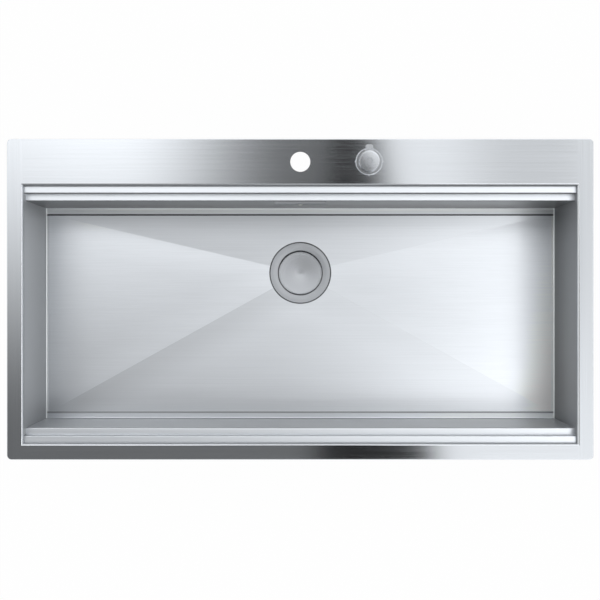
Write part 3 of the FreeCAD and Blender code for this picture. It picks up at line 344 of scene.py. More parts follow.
sheetLook = {
    "dark": (0.780, 0.815, 0.856),
    "light": (0.820, 0.855, 0.898),
    "streakAlong": 5.0,
    "streakAcross": 1100.0,
    "bumpDepth": 0.0000025,
    "deckRoughness": (0.06, 0.085),
    "bowlRoughness": (0.30, 0.33),
    "wallRoughness": (0.30, 0.38),
    "stripStart": 0.484,  # the side strips are brushed from front to rear beyond this
    "openingSide": 0.484,  # upright faces of the opening
    "openingRear": 0.1985,
    "openingFront": -0.2515,
    "bendReach": (0.0045, 0.0040),
    "bendTop": (0.00238, 0.00215),  # levels between which the opening's bends begin
    "bendFoot": (-0.0008, -0.0014),  # and end
    # painted highlights on the side bends, painted shade on the rear and front bends and on the
    # upright faces below them
    "rearBendPaintedShade": 0.42,
    "frontBendPaintedShade": 0.80,
    "leftBendPaintedHighlight": 1.04,
    "rightBendPaintedHighlight": 1.17,
    "mouthPaintedShade": 0.42,  # the upright faces below the bends
    "bendRougher": 0.42,
    "wallMetal": 0.10,  # upright inner faces are duller, matt steel
    "wallShine": 0.06,
    # painted shade on the overflow cover, a little darker towards +X
    "coverPaintedShades": (-0.045, 0.020, 0.33, 0.30),  # along X
    "coverRoughness": (0.46, 0.52),
}

# Where the folded trough has which surface, in metres, and the painted light and painted shade
# there.
troughLook = {
    "upperLedge": -0.0076,
    "lowerLedge": -0.0216,
    "ledgeEdge": (0.0001, 0.0004),
    # painted light on the ledges, and painted shade at the rear crook and on the risers
    "rearLedgePaintedShading": (-0.25, -0.02, 1.10, 0.98),  # along X
    "frontLedgePaintedShading": 0.91,
    "crookPaintedShade": 0.50,
    "rearCrook": (0.1972, 0.1978),
    "frontLedgeRougher": 0.03,
    "rearLedgeRougher": 0.10,
    "rearRiserPaintedShade": 0.20,
    "frontRiserPaintedShade": 0.70,
    # painted shade on the walls of the trough and the end walls, set along X and changing from the
    # foot upwards
    "rearWallPaintedShade": (-0.40, 0.25, 0.20, 0.21),  # along X
    "frontWallPaintedShade": (-0.35, -0.05, 0.72, 0.54),
    "leftWallPaintedShade": 0.50,
    "rightWallPaintedShade": 0.37,
    "rearFade": (-0.19, -0.04, 0.85, 1.10),  # from the foot upwards
    "frontFade": (-0.19, -0.03, 1.05, 0.92),
    "leftFade": (-0.19, -0.02, 0.85, 1.12),
    "rightFade": (-0.19, -0.04, 0.52, 1.10),
    "outsideTone": 0.85,
    "outsideDrop": 0.001,  # the outer faces start this far below the lower ledge
    "rearOutside": 0.1741,  # beyond these the faces are the outer ones
    "frontOutside": -0.2271,
    "endOutside": 0.4846,
    "wallFoot": (-0.1966, -0.1956),
    # painted shade in a thin ring round the waste and along the two fold lines of the floor
    "wasteRing": 0.0576,
    "ringWidth": (0.0009, 0.0019),
    "rearFold": 0.1608,
    "frontFold": -0.2149,
    "foldWidth": (0.0010, 0.0021),
    "rearFoldPaintedShade": 0.12,
    "frontFoldPaintedShade": 0.45,
    # painted light on the flat strips round the floor, less on the left and front-left
    "rearStripPaintedLight": 1.18,  # the flat strips round the floor
    "frontStripPaintedShading": (0.0, 0.30, 0.90, 1.18),  # along X
    "leftStripPaintedShading": 0.95,
    "rightStripPaintedLight": 1.20,
    # painted shading across the floor: a slow painted gradient, and painted light along the right
    # end
    "floorPaintedShading": 0.96,
    "floorLean": (0.10, 0.24),  # change of that tone for each metre
    "floorTwist": -1.5,  # change for each square metre of x times y
    "floorMiddle": (0.0, 0.40, -0.03, 0.045),
    "floorPaintedLight": (0.39, 0.47, 0.0, 0.13),  # lighter along the right end
    "rightEndRougher": (0.40, 0.470, 0.0, 0.20),
    "stripRougher": 0.08,
    "cornerX": 0.478,  # where the creases start
    "frontCornerY": -0.2145,
    "rearCornerY": 0.1615,
    "creaseReach": 0.070,
    # painted light and painted shade beside the four creases
    "creasePaintedLight": 0.075,
    "frontCreasePaintedShade": 0.13,
    "rearCreasePaintedShade": 0.03,
    "creaseFades": (-0.15, 0.15, 1.0, 0.4),
    "creaseEnds": (0.475, 0.40),
}


def sheetSteel(name, brush, roughness, tone, rougher=None, metal=None):
    material, tree, shader, coords = startMaterial(name, roughness[0], 1.0)
    grain = addNode(tree, "ShaderNodeGroup", brushGrain, Vector=brush(tree, coords))
    colour, rough = layPattern(tree, shader, grain, (sheetLook["dark"], sheetLook["light"]),
                               roughness, sheetLook["bumpDepth"])
    # the base colour is scaled by the painted light and painted shade of the given tone function
    feed(tree, shader.inputs["Base Color"], scaledColour(tree, colour, tone(tree, coords)))
    if rougher:
        feed(tree, shader.inputs["Roughness"], plus(tree, rough, rougher(tree, coords)))
    if metal:
        feed(tree, shader.inputs["Metallic"], metal(tree, coords))
        shader.inputs["Specular IOR Level"].default_value = sheetLook["wallShine"]
    return material


def brushAlongX(tree, coords):
    across = sheetLook["streakAcross"]
    return stretched(tree, coords, (sheetLook["streakAlong"], across, across))


def brushAlongY(tree, coords):
    across = sheetLook["streakAcross"]
    return stretched(tree, coords, (across, sheetLook["streakAlong"], across))


# The deck changes its brushing where the side strips are let in.
def brushDeck(tree, coords):
    reach = absolute(tree, splitCoords(tree, coords)[0])
    onStrip = above(tree, reach, sheetLook["stripStart"])
    return mixNode(tree, "VECTOR", onStrip, brushAlongX(tree, coords), brushAlongY(tree, coords))


def onLedge(tree, z):
    upper, lower = (nearTo(tree, z, troughLook[ledge], troughLook["ledgeEdge"])
                    for ledge in ("upperLedge", "lowerLedge"))
    return largest(tree, upper, lower)


def troughRougher(tree, coords):
    look = troughLook
    x, y, z = splitCoords(tree, coords)
    rear = above(tree, y, 0.0)
    more = mixFloat(tree, rear, look["frontLedgeRougher"], look["rearLedgeRougher"])
    more = times(tree, onLedge(tree, z), more)
    strip = times(tree, above(tree, y, look["rearFold"]), look["stripRougher"])
    end = largest(tree, rampNode(tree, x, *look["rightEndRougher"]), strip)
    return timesPlus(tree, below(tree, z, look["wallFoot"][1]), end, more)


# Painted shading of the floor: a slow painted gradient across it, and painted light and painted
# shade along the four creases from its corners to the waste, lighter on the end facets and darker
# on the long ones.
def floorPaintedShading(tree, x, y):
    look = troughLook
    side = minus(tree, absolute(tree, x), look["cornerX"])
    creases = []
    for cornerY, sense, depth in ((look["frontCornerY"], 1, look["frontCreasePaintedShade"]),
                                  (look["rearCornerY"], -1, look["rearCreasePaintedShade"])):
        rise = wastePlace[1] - cornerY
        run = math.hypot(look["cornerX"], rise)
        across = times(tree, minus(tree, y, cornerY), sense * look["cornerX"] / run)
        gap = timesPlus(tree, side, sense * rise / run, across)
        light = rampNode(tree, gap, 0.0, look["creaseReach"], look["creasePaintedLight"], 0.0)
        dark = rampNode(tree, gap, -look["creaseReach"], 0.0, 0.0, -depth)
        creases.append(times(tree, light, above(tree, gap, 0.0)))
        creases.append(times(tree, dark, below(tree, gap, 0.0)))
    total = times(tree, plus(tree, *creases), rampNode(tree, x, *look["creaseFades"]),
                  rampNode(tree, absolute(tree, x), *look["creaseEnds"]))
    total = plus(tree, total, rampNode(tree, x, *look["floorPaintedLight"]))
    lean = timesPlus(tree, x, look["floorLean"][0], look["floorPaintedShading"])
    lean = timesPlus(tree, y, look["floorLean"][1], lean)
    lean = timesPlus(tree, times(tree, x, y), look["floorTwist"], lean)
    lean = plus(tree, lean, rampNode(tree, absolute(tree, x), *look["floorMiddle"]))
    return plus(tree, total, lean)


# 1 on the inner upright faces below the ledges.
def onTroughWall(tree, y, z):
    look = troughLook
    return times(tree, rampNode(tree, z, *look["wallFoot"]),
                 below(tree, z, look["lowerLedge"] - look["ledgeEdge"][1]),
                 below(tree, y, look["rearOutside"]), above(tree, y, look["frontOutside"]))


# The walls and the rear risers are matt, so they look alike from above and from the side.
def troughMetal(tree, coords):
    y, z = splitCoords(tree, coords)[1:]
    riser = times(tree, minus(tree, 1.0, onLedge(tree, z)),
                  above(tree, z, troughLook["lowerLedge"]), above(tree, y, 0.0))
    matt = largest(tree, onTroughWall(tree, y, z), riser)
    return mixFloat(tree, matt, 1.0, sheetLook["wallMetal"])


def endMetal(tree, coords):
    x, z = splitCoords(tree, coords)[::2]
    inside = below(tree, absolute(tree, x), troughLook["endOutside"])
    wall = times(tree, inside, rampNode(tree, z, *troughLook["wallFoot"]))
    return mixFloat(tree, wall, 1.0, sheetLook["wallMetal"])


# Painted light on the ledges and strips, painted shade on the walls and risers, and painted shade
# along the two fold lines of the floor and round the waste.
def troughPaintedShading(tree, coords):
    look = troughLook
    x, y, z = splitCoords(tree, coords)
    rear = above(tree, y, 0.0)
    front, back = (
        times(tree, rampNode(tree, x, *look[tones]), rampNode(tree, z, *look[fade]))
        for tones, fade in (("frontWallPaintedShade", "frontFade"), ("rearWallPaintedShade", "rearFade")))
    wall = mixFloat(tree, rear, front, back)
    riser = mixFloat(tree, rear, look["frontRiserPaintedShade"], look["rearRiserPaintedShade"])
    upright = mixFloat(tree, above(tree, z, look["lowerLedge"]), wall, riser)
    low = floorPaintedShading(tree, x, y)
    for value, test, edge, strip in (
        (x, below, -look["cornerX"], look["leftStripPaintedShading"]),
        (x, above, look["cornerX"], look["rightStripPaintedLight"]),
        (y, below, look["frontFold"], rampNode(tree, x, *look["frontStripPaintedShading"])),
        (y, above, look["rearFold"], look["rearStripPaintedLight"]),
    ):
        low = mixFloat(tree, test(tree, value, edge), low, strip)
    tone = mixFloat(tree, rampNode(tree, z, *look["wallFoot"]), low, upright)
    shelf = mixFloat(tree, rear, look["frontLedgePaintedShading"],
                     rampNode(tree, x, *look["rearLedgePaintedShading"]))
    tone = mixFloat(tree, onLedge(tree, z), tone, shelf)
    tone = mixFloat(tree, rampNode(tree, y, *look["rearCrook"]), tone, look["crookPaintedShade"])
    ring = nearTo(tree, distanceFrom(tree, coords, wastePlace), look["wasteRing"],
                  look["ringWidth"])
    rearFold = largest(tree, nearTo(tree, y, look["rearFold"], look["foldWidth"]), ring)
    frontFold = nearTo(tree, y, look["frontFold"], look["foldWidth"])
    deep = below(tree, z, look["wallFoot"][0])
    tone = mixFloat(tree, times(tree, rearFold, deep), tone, look["rearFoldPaintedShade"])
    tone = mixFloat(tree, times(tree, frontFold, deep), tone, look["frontFoldPaintedShade"])
    outside = largest(tree, above(tree, y, look["rearOutside"]),
                      below(tree, y, look["frontOutside"]))
    outside = times(tree, outside, below(tree, z, look["lowerLedge"] - look["outsideDrop"]))
    return mixFloat(tree, outside, tone, look["outsideTone"])


# Painted shade on the end walls, changing from the foot upwards, and painted light on the strip at
# their foot.
def endPaintedShading(tree, coords):
    look = troughLook
    x, z = splitCoords(tree, coords)[::2]
    left, right = (times(tree, rampNode(tree, z, *look[fade]), look[tone])
                   for tone, fade in (("leftWallPaintedShade", "leftFade"), ("rightWallPaintedShade", "rightFade")))
    wall = mixFloat(tree, above(tree, x, 0.0), left, right)
    foot = rampNode(tree, z, *look["wallFoot"])
    tone = mixFloat(tree, foot, look["rightStripPaintedLight"], wall)
    outside = above(tree, absolute(tree, x), look["endOutside"])
    return mixFloat(tree, outside, tone, look["outsideTone"])


# Painted shade on the overflow cover, a little darker towards +X.
def coverPaintedShading(tree, coords):
    return rampNode(tree, splitCoords(tree, coords)[0], *sheetLook["coverPaintedShades"])


# How far a point lies beyond the opening's side, rear and front faces.
def beyondOpening(tree, x, y):
    look = sheetLook
    return (minus(tree, absolute(tree, x), look["openingSide"]),
            minus(tree, y, look["openingRear"]),
            minus(tree, look["openingFront"], y))


def nearOpening(tree, x, y):
    furthest = largest(tree, *beyondOpening(tree, x, y))
    return rampNode(tree, furthest, *sheetLook["bendReach"])


# Painted highlights on the side bends round the opening, painted shade on the rear and front bends,
# and painted shade on the upright faces below them.
def deckPaintedShading(tree, coords):
    look = sheetLook
    x, y, z = splitCoords(tree, coords)
    side, rear, front = beyondOpening(tree, x, y)
    bend = mixFloat(tree, above(tree, x, 0.0), look["leftBendPaintedHighlight"], look["rightBendPaintedHighlight"])
    for reach, other, tone in ((rear, front, look["rearBendPaintedShade"]),
                               (front, rear, look["frontBendPaintedShade"])):
        beyond = above(tree, reach, largest(tree, side, other))
        bend = mixFloat(tree, beyond, bend, tone)
    tone = mixFloat(tree, rampNode(tree, z, *look["bendTop"]), 1.0, bend)
    tone = mixFloat(tree, rampNode(tree, z, *look["bendFoot"]), tone, look["mouthPaintedShade"])
    return mixFloat(tree, nearOpening(tree, x, y), 1.0, tone)


def deckMetal(tree, coords):
    x, y, z = splitCoords(tree, coords)
    mouth = times(tree, nearOpening(tree, x, y), rampNode(tree, z, *sheetLook["bendFoot"]))
    return mixFloat(tree, mouth, 1.0, sheetLook["wallMetal"])


# Bends and the underside are less polished than the deck's top.
def deckRougher(tree, coords):
    z = splitCoords(tree, coords)[2]
    return rampNode(tree, z, *sheetLook["bendTop"], 0.0, sheetLook["bendRougher"])


deckSteel = sheetSteel("deckSteel", brushDeck, sheetLook["deckRoughness"], deckPaintedShading,
                       deckRougher, deckMetal)
bowlSteel = sheetSteel("bowlSteel", brushAlongX, sheetLook["bowlRoughness"], troughPaintedShading,
                       troughRougher, troughMetal)
endSteel = sheetSteel("endSteel", brushAlongY, sheetLook["wallRoughness"], endPaintedShading,
                      metal=endMetal)
coverSteel = sheetSteel("coverSteel", brushAlongX, sheetLook["coverRoughness"], coverPaintedShading)

# Turned and pressed bright steel.

turnedLook = {
    "dark": (0.681, 0.71, 0.748),
    "light": (0.711, 0.74, 0.779),
    "ringScale": 300.0,  # rings get finer with it
    "bumpDepth": 0.00000012,
    # the tones set each part's brightness as painted light and painted shade on one turned steel:
    # the flange darkened, the knob brightened
    "flange": ((0.44, 0.50), 0.60),  # roughness and tone
    "plug": ((0.24, 0.28), 0.82),
    "knob": ((0.13, 0.15), 1.06),
    "collar": ((0.10, 0.12), 0.98),
}


# Fine rings about an upright axis through the given place.
def turnedSteel(name, place, look, piece):
    roughness, tone = look[piece]
    material, tree, shader, coords = startMaterial(name, roughness[0], 1.0)
    rings = addNode(tree, "ShaderNodeCombineXYZ",
                    X=times(tree, distanceFrom(tree, coords, place), look["ringScale"]),
                    Y=times(tree, splitCoords(tree, coords)[2], look["ringScale"]))
    grain = addNode(tree, "ShaderNodeGroup", brushGrain, Vector=rings.outputs["Vector"])
    colours = [tuple(tone * part for part in look[shade]) for shade in ("dark", "light")]
    layPattern(tree, shader, grain, colours, roughness, look["bumpDepth"])
    return material


flangeSteel = turnedSteel("flangeSteel", wastePlace, turnedLook, "flange")
plugSteel = turnedSteel("plugSteel", wastePlace, turnedLook, "plug")
knobSteel = turnedSteel("knobSteel", knobPlace, turnedLook, "knob")
collarSteel = turnedSteel("collarSteel", knobPlace, turnedLook, "collar")

# Plain steel of brackets, screws and wires, with a faint cloudy tone.
plainLook = {
    "colour": (0.50, 0.50, 0.49),
    "darkShare": 0.82,
    "roughness": 0.36,
    "roughSpread": (-0.06, 0.08),
    "scale": (300, 300, 300),
    "bumpDepth": 0.00001,
}


def spreadAbout(middle, spread):
    return tuple(middle + more for more in spread)


def plainSteel(name, look):
    material, tree, shader, coords = startMaterial(name, look["roughness"], 1.0)
    cloudy = stretched(tree, coords, look["scale"])
    grain = addNode(tree, "ShaderNodeGroup", brushGrain, Vector=cloudy)
    dark = tuple(look["darkShare"] * part for part in look["colour"])
    layPattern(tree, shader, grain, (dark, look["colour"]),
               spreadAbout(look["roughness"], look["roughSpread"]), look["bumpDepth"])
    return material


# Moulded plastic, rubber and foam. What a finish gives replaces the value in mouldedLook.
mouldedFinishes = {
    "whitePlastic": {"colour": (0.80, 0.80, 0.78), "roughness": 0.42, "toneSpread": 0.05},
    "greyPlastic": {"colour": (0.36, 0.37, 0.38), "roughness": 0.45},
    "darkRubber": {"colour": (0.040, 0.040, 0.041), "roughness": 0.62, "pebble": 700.0,
                   "toneSpread": 0.25},
    "foamRubber": {"colour": (0.12, 0.12, 0.12), "roughness": 0.85, "pebble": 500.0,
                   "bumpDepth": 0.0002},
    "hosePlastic": {"colour": (0.70, 0.70, 0.69), "roughness": 0.38, "toneSpread": 0.06},
    "sheathPlastic": {"colour": (0.045, 0.045, 0.047), "roughness": 0.40, "pebble": 1500.0},
}


def mouldedFinish(name):
    look = {**mouldedLook, **mouldedFinishes[name]}
    material, tree, shader, coords = startMaterial(name, look["roughness"], 0.0)
    skin = addNode(tree, "ShaderNodeGroup", mouldedSkin, Vector=coords,
                   Pebble=look["pebble"], Cloud=look["cloud"])
    colours = [tuple(part * (1 + side * look["toneSpread"]) for part in look["colour"])
               for side in (-1, 1)]
    layPattern(tree, shader, skin, colours,
               spreadAbout(look["roughness"], look["roughSpread"]), look["bumpDepth"])
    return material


bracketSteel = plainSteel("bracketSteel", plainLook)
whitePlastic, greyPlastic, darkRubber, foamRubber, hosePlastic, sheathPlastic = (
    mouldedFinish(name) for name in mouldedFinishes)

# Finishes by node, and by slot for the nodes that aren't named here.
finishes = {
    "deck": deckSteel,
    "bowl_trough": bowlSteel,
    "end_wall_left": endSteel,
    "end_wall_right": endSteel,
    "waste_flange": flangeSteel,
    "strainer_basket": plugSteel,
    "strainer_cap": plugSteel,
    "overflow_cover": coverSteel,
    "overflow_screw": bracketSteel,
    "waste_screws": bracketSteel,
    "knob_cap": knobSteel,
    "knob_base": collarSteel,
}
slotFinishes = {
    "steel_plain": bracketSteel,
    "rubber_dark": darkRubber,
    "foam": foamRubber,
    "plastic_white": whitePlastic,
    "plastic_grey": greyPlastic,
    "hose_plastic": hosePlastic,
    "cable_sheath": sheathPlastic,
}


def finishOf(node, slot):
    return finishes.get(node) or slotFinishes[slot]


def dressNodes():
    slotOf = {entry["node"]: entry["material_slot"] for entry in record["subparts"]}
    for name, item in nodes.items():
        for place in item.material_slots:
            place.material = finishOf(name, slotOf[name])


dressNodes()
print("finishes assigned")

# Drawing and turning.


def editPoints():
    bpy.ops.object.mode_set(mode="EDIT")
    bpy.ops.mesh.select_mode(type="VERT")
    bpy.ops.mesh.select_all(action="SELECT")


# One vertex in edit mode, to draw a profile from.
def startPoint(name, point):
    clearSelection()
    bpy.ops.mesh.primitive_plane_add(size=helperLook["startSize"])
    item = bpy.context.object
    item.name = name
    editPoints()
    bpy.ops.mesh.merge(type="CENTER")
    bpy.ops.transform.translate(value=point)
    return item


def drawOn(points):
    for first, second in zip(points, points[1:]):
        step = tuple(b - a for a, b in zip(first, second))
        bpy.ops.mesh.extrude_region_move(TRANSFORM_OT_translate={"value": step})


def closeMesh():
    bpy.ops.mesh.select_all(action="SELECT")
    bpy.ops.mesh.remove_doubles(threshold=helperLook["weldGap"])
    bpy.ops.mesh.normals_make_consistent(inside=False)
    bpy.ops.object.mode_set(mode="OBJECT")


# A closed outline of (radius, height) turned about an upright axis.
def turnOutline(name, place, outline, steps):
    x, y = place
    points = [(x + radius, y, height) for radius, height in outline + outline[:1]]
    item = startPoint(name, points[0])
    drawOn(points)
    bpy.ops.mesh.select_all(action="SELECT")
    bpy.ops.mesh.spin(steps=steps, angle=2 * math.pi, center=(x, y, 0), axis=(0, 0, 1))
    closeMesh()
    return item


def softenEdges(item, width, segments=helperLook["bevelSegments"],
                degrees=helperLook["bevelAngle"]):
    selectOnly(item)
    bevel = item.modifiers.new("soften", "BEVEL")
    bevel.width = width
    bevel.segments = segments
    bevel.limit_method = "ANGLE"
    bevel.angle_limit = math.radians(degrees)
    bevel.use_clamp_overlap = True
    bpy.ops.object.modifier_apply(modifier="soften")


# A piece takes the finish of the node that it replaces.
def finishPiece(item, body, slot, node):
    item.data.materials.clear()
    item.data.materials.append(finishOf(node, slot))
    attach(item, body)
    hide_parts(node)


# A merged copy of a CAD node's mesh, selected on its own.
def mergedCopy(name, node):
    source = nodes[node]
    clearSelection()
    item = source.copy()
    item.data = source.data.copy()
    item.name = name
    bpy.context.scene.collection.objects.link(item)
    selectOnly(item)
    editPoints()
    bpy.ops.mesh.remove_doubles(threshold=helperLook["copyWeldGap"])
    bpy.ops.mesh.dissolve_limited(angle_limit=math.radians(helperLook["flatAngle"]))
    bpy.ops.object.mode_set(mode="OBJECT")
    return item


def clearMarks(item):
    for kind in (item.data.polygons, item.data.edges, item.data.vertices):
        for part in kind:
            part.select = False


def selectFaces(item, test):
    bpy.ops.object.mode_set(mode="OBJECT")
    clearMarks(item)
    for face in item.data.polygons:
        if test(face):
            face.select = True
            for index in face.vertices:
                item.data.vertices[index].select = True
    bpy.ops.object.mode_set(mode="EDIT")
    bpy.ops.mesh.select_mode(type="FACE")


# Knob with its tab, satin chrome.
knobLook = {
    "radius": 0.0175,
    "low": 0.0075,
    "top": 0.0220,
    "crown": 0.00014,  # its height, in rings that follow a parabola
    "crownRings": 5,
    "crownPower": 2,
    "sides": 96,
    "tabTop": 0.0135,
    "tabHalf": 0.0078,
    "tabSteps": (  # reach and half width
        (0.0185, 0.0071), (0.0206, 0.0067), (0.0268, 0.0063), (0.0290, 0.0050),
    ),
    "edge": 0.0010,
    "edgeSegments": 3,
    "edgeAngle": 50,
    "smoothAngle": 40,
    "uprightSlope": 0.1,  # faces with less are upright
    "levelSlope": 0.99,  # faces with more are level
}


def makeKnobCap(look):
    x, y = knobPlace
    height = look["top"] - look["crown"] - look["low"]
    clearSelection()
    bpy.ops.mesh.primitive_cylinder_add(vertices=look["sides"], radius=look["radius"],
                                        depth=height, location=(x, y, look["low"] + height / 2))
    item = bpy.context.object
    item.name = "knobCap"
    bpy.ops.object.transform_apply(location=True, rotation=True, scale=True)
    editPoints()
    bpy.ops.mesh.bisect(plane_co=(x, y, look["tabTop"]), plane_no=(0, 0, 1))
    selectFaces(item, lambda face: abs(face.normal.z) < look["uprightSlope"]
                and face.center.z < look["tabTop"]
                and face.center.y > y and abs(face.center.x - x) < look["tabHalf"])
    before = y + look["radius"]
    halfBefore = look["tabHalf"]
    for reach, half in look["tabSteps"]:
        step = (0, y + reach - before, 0)
        bpy.ops.mesh.extrude_region_move(TRANSFORM_OT_translate={"value": step})
        bpy.ops.transform.resize(value=(half / halfBefore, 0, 1),
                                 center_override=(x, y + reach, 0))
        before, halfBefore = y + reach, half
    bpy.ops.object.mode_set(mode="OBJECT")
    softenEdges(item, look["edge"], look["edgeSegments"], look["edgeAngle"])
    selectFaces(item, lambda face: face.normal.z > look["levelSlope"]
                and face.center.z > look["tabTop"] + look["edge"])
    before, ring = 0.0, (look["radius"] - look["edge"]) / look["crownRings"]
    for step in range(1, look["crownRings"]):
        share = 1 - (1 - step / look["crownRings"]) ** look["crownPower"]
        bpy.ops.mesh.inset(thickness=ring, depth=0)
        bpy.ops.transform.translate(value=(0, 0, look["crown"] * (share - before)))
        before = share
    bpy.ops.object.mode_set(mode="OBJECT")
    shadeByAngle(item, look["smoothAngle"])
    finishPiece(item, "knob", "knob_chrome", "knob_cap")


makeKnobCap(knobLook)
print("knob made")

# Ribbed hose from the overflow to the pot: straight down, a quarter bend, and a short run.
hoseLook = {
    "top": (0.0, 0.1947, -0.0600),
    "drop": 0.1396,
    "bendRadius": 0.0380,
    "run": 0.0487,
    "cuff": 0.0250,
    "cuffRadius": 0.0112,
    "cuffLip": (0.0006, 0.0004),  # length and depth
    "cuffShares": (0.35, 0.7, 0.96),  # rings along the cuff
    "root": 0.0106,
    "crest": 0.0124,
    "ribs": 44,
    "wall": 0.0012,
    "sides": 40,
    "ribShape": (  # shares of the pitch and of the rise
        (0.12, 0.0), (0.30, 0.75), (0.42, 1.0), (0.62, 1.0), (0.74, 0.75), (0.90, 0.0),
    ),
    "smoothAngle": 50,
}


# Distance along the hose and radius there.
def hoseStations(look):
    length = look["drop"] + look["bendRadius"] * math.pi / 2 + look["run"]
    lip, depth = look["cuffLip"]
    stations = [(0.0, look["cuffRadius"] - depth), (lip, look["cuffRadius"])]
    stations += [(look["cuff"] * share, look["cuffRadius"]) for share in look["cuffShares"]]
    ends = [(length - along, radius) for along, radius in reversed(stations)]
    pitch = (length - 2 * look["cuff"]) / look["ribs"]
    for rib in range(look["ribs"]):
        for share, rise in look["ribShape"]:
            radius = look["root"] + rise * (look["crest"] - look["root"])
            stations.append((look["cuff"] + (rib + share) * pitch, radius))
    return stations + ends


def makeHose(look):
    x, y, z = look["top"]
    stations = hoseStations(look)
    radius = stations[0][1]
    clearSelection()
    bpy.ops.mesh.primitive_circle_add(vertices=look["sides"], radius=radius,
                                      location=look["top"])
    item = bpy.context.object
    item.name = "ribbedHose"
    bpy.ops.object.transform_apply(location=True, rotation=True, scale=True)
    editPoints()
    bendStart, bendEnd = look["drop"], look["drop"] + look["bendRadius"] * math.pi / 2
    pivot = Vector((x, y - look["bendRadius"], z - look["drop"]))

    def placeAt(along):
        if along <= bendStart:
            return Vector((x, y, z - along)), 0.0
        if along <= bendEnd:
            turn = (along - bendStart) / look["bendRadius"]
            reach = Vector((0, math.cos(turn), -math.sin(turn))) * look["bendRadius"]
            return pivot + reach, turn
        return pivot + Vector((0, bendEnd - along, -look["bendRadius"])), math.pi / 2

    spot, turn = placeAt(0.0)
    for along, nextRadius in stations[1:]:
        nextSpot, nextTurn = placeAt(along)
        step = tuple(nextSpot - spot)
        bpy.ops.mesh.extrude_region_move(TRANSFORM_OT_translate={"value": step})
        if nextTurn != turn:
            bpy.ops.transform.rotate(value=nextTurn - turn, orient_axis="X",
                                     center_override=tuple(nextSpot))
        if nextRadius != radius:
            bpy.ops.transform.resize(value=(nextRadius / radius,) * 3,
                                     center_override=tuple(nextSpot))
        spot, turn, radius = nextSpot, nextTurn, nextRadius
    closeMesh()
    solid = item.modifiers.new("wall", "SOLIDIFY")
    solid.thickness = look["wall"]
    solid.offset = -1
    bpy.ops.object.modifier_apply(modifier="wall")
    shadeByAngle(item, look["smoothAngle"])
    finishPiece(item, "sink", "hose_plastic", "overflow_hose")


makeHose(hoseLook)
print("hose made")

# Sheath of the control cable, clipped to the rear wall between its two ends.
cableLook = {
    "radius": 0.0025,
    "roundness": 5,
    "steps": 16,
    "order": 3,
    "points": (
        (0.154, 0.240, -0.0358),
        (0.200, 0.240, -0.0358),
        (0.236, 0.222, -0.0758),
        (0.236, 0.1802, -0.1358),
        (0.236, 0.1802, -0.2106),
        (0.214, 0.1472, -0.2426),
        (0.190, 0.0992, -0.2476),
        (0.152, 0.0505, -0.2346),
        (0.092, 0.0505, -0.2346),
    ),
}


def makeCable(look):
    clearSelection()
    curve = bpy.data.curves.new("cableSheath", "CURVE")
    curve.dimensions = "3D"
    curve.bevel_depth = look["radius"]
    curve.bevel_resolution = look["roundness"]
    curve.resolution_u = look["steps"]
    curve.use_fill_caps = True
    line = curve.splines.new("NURBS")
    line.points.add(len(look["points"]) - 1)
    for point, place in zip(line.points, look["points"]):
        point.co = (*place, 1)
    line.order_u = look["order"]
    line.use_endpoint_u = True
    item = bpy.data.objects.new("cableSheath", curve)
    bpy.context.scene.collection.objects.link(item)
    finishPiece(item, "sink", "cable_sheath", "cable")


makeCable(cableLook)
print("cable made")

# Parts that keep their solid's shape and get rounded edges, with the width of the rounding:
# first the rubber and the foam.
roundedLook = {"smoothAngle": 40}
softParts = (
    ("foamStrip", "rim_seal", "sink", "foam", 0.0004),
    ("flangeSeal", "flange_seal", "sink", "rubber_dark", 0.0002),
    ("potGasket", "pot_gasket", "sink", "rubber_dark", 0.0004),
    ("leverSeal", "lever_seal", "sink", "rubber_dark", 0.0003),
    ("plugSeal", "strainer_seal", "strainer", "rubber_dark", 0.0006),
    ("knobGasket", "knob_gasket", "sink", "rubber_dark", 0.0002),
    ("overflowGasket", "overflow_gasket", "sink", "rubber_dark", 0.0004),
)


def makeRoundedPart(name, node, body, slot, width):
    item = mergedCopy(name, node)
    softenEdges(item, width)
    shadeByAngle(item, roundedLook["smoothAngle"])
    finishPiece(item, body, slot, node)


for entry in softParts:
    makeRoundedPart(*entry)
print("soft parts made")

# Sound-deadening pads, pressed into squares.
padLook = {
    "pitch": 0.022,
    "groove": 0.0012,
    "rise": 0.0004,
    "facing": 0.9,  # faces that look outwards more than this are pressed
    "smoothAngle": 25,
}


# Outward is the axis along which the pads look away from the sink.
def makePads(name, node, outward, look):
    item = mergedCopy(name, node)
    low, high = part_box(node)
    middle = [(a + b) / 2 for a, b in zip(low, high)]
    editPoints()
    for axis in range(3):
        if axis == outward:
            continue
        normal = [0, 0, 0]
        normal[axis] = 1
        count = int((high[axis] - low[axis]) / look["pitch"] / 2)
        for line in range(-count, count + 1):
            place = list(middle)
            place[axis] += line * look["pitch"]
            bpy.ops.mesh.select_all(action="SELECT")
            bpy.ops.mesh.bisect(plane_co=place, plane_no=normal)
    bpy.ops.object.mode_set(mode="OBJECT")
    if outward == 2:
        selectFaces(item, lambda face: face.normal.z < -look["facing"])
    else:
        selectFaces(item, lambda face: abs(face.normal.x) > look["facing"]
                    and face.normal.x * face.center.x > 0)
    bpy.ops.mesh.inset(thickness=look["groove"], depth=0, use_individual=True)
    bpy.ops.transform.shrink_fatten(value=look["rise"])
    bpy.ops.object.mode_set(mode="OBJECT")
    shadeByAngle(item, look["smoothAngle"])
    finishPiece(item, "sink", "rubber_dark", node)


makePads("floorPads", "floor_pads", 2, padLook)
makePads("endPads", "end_pads", 0, padLook)
print("pads made")

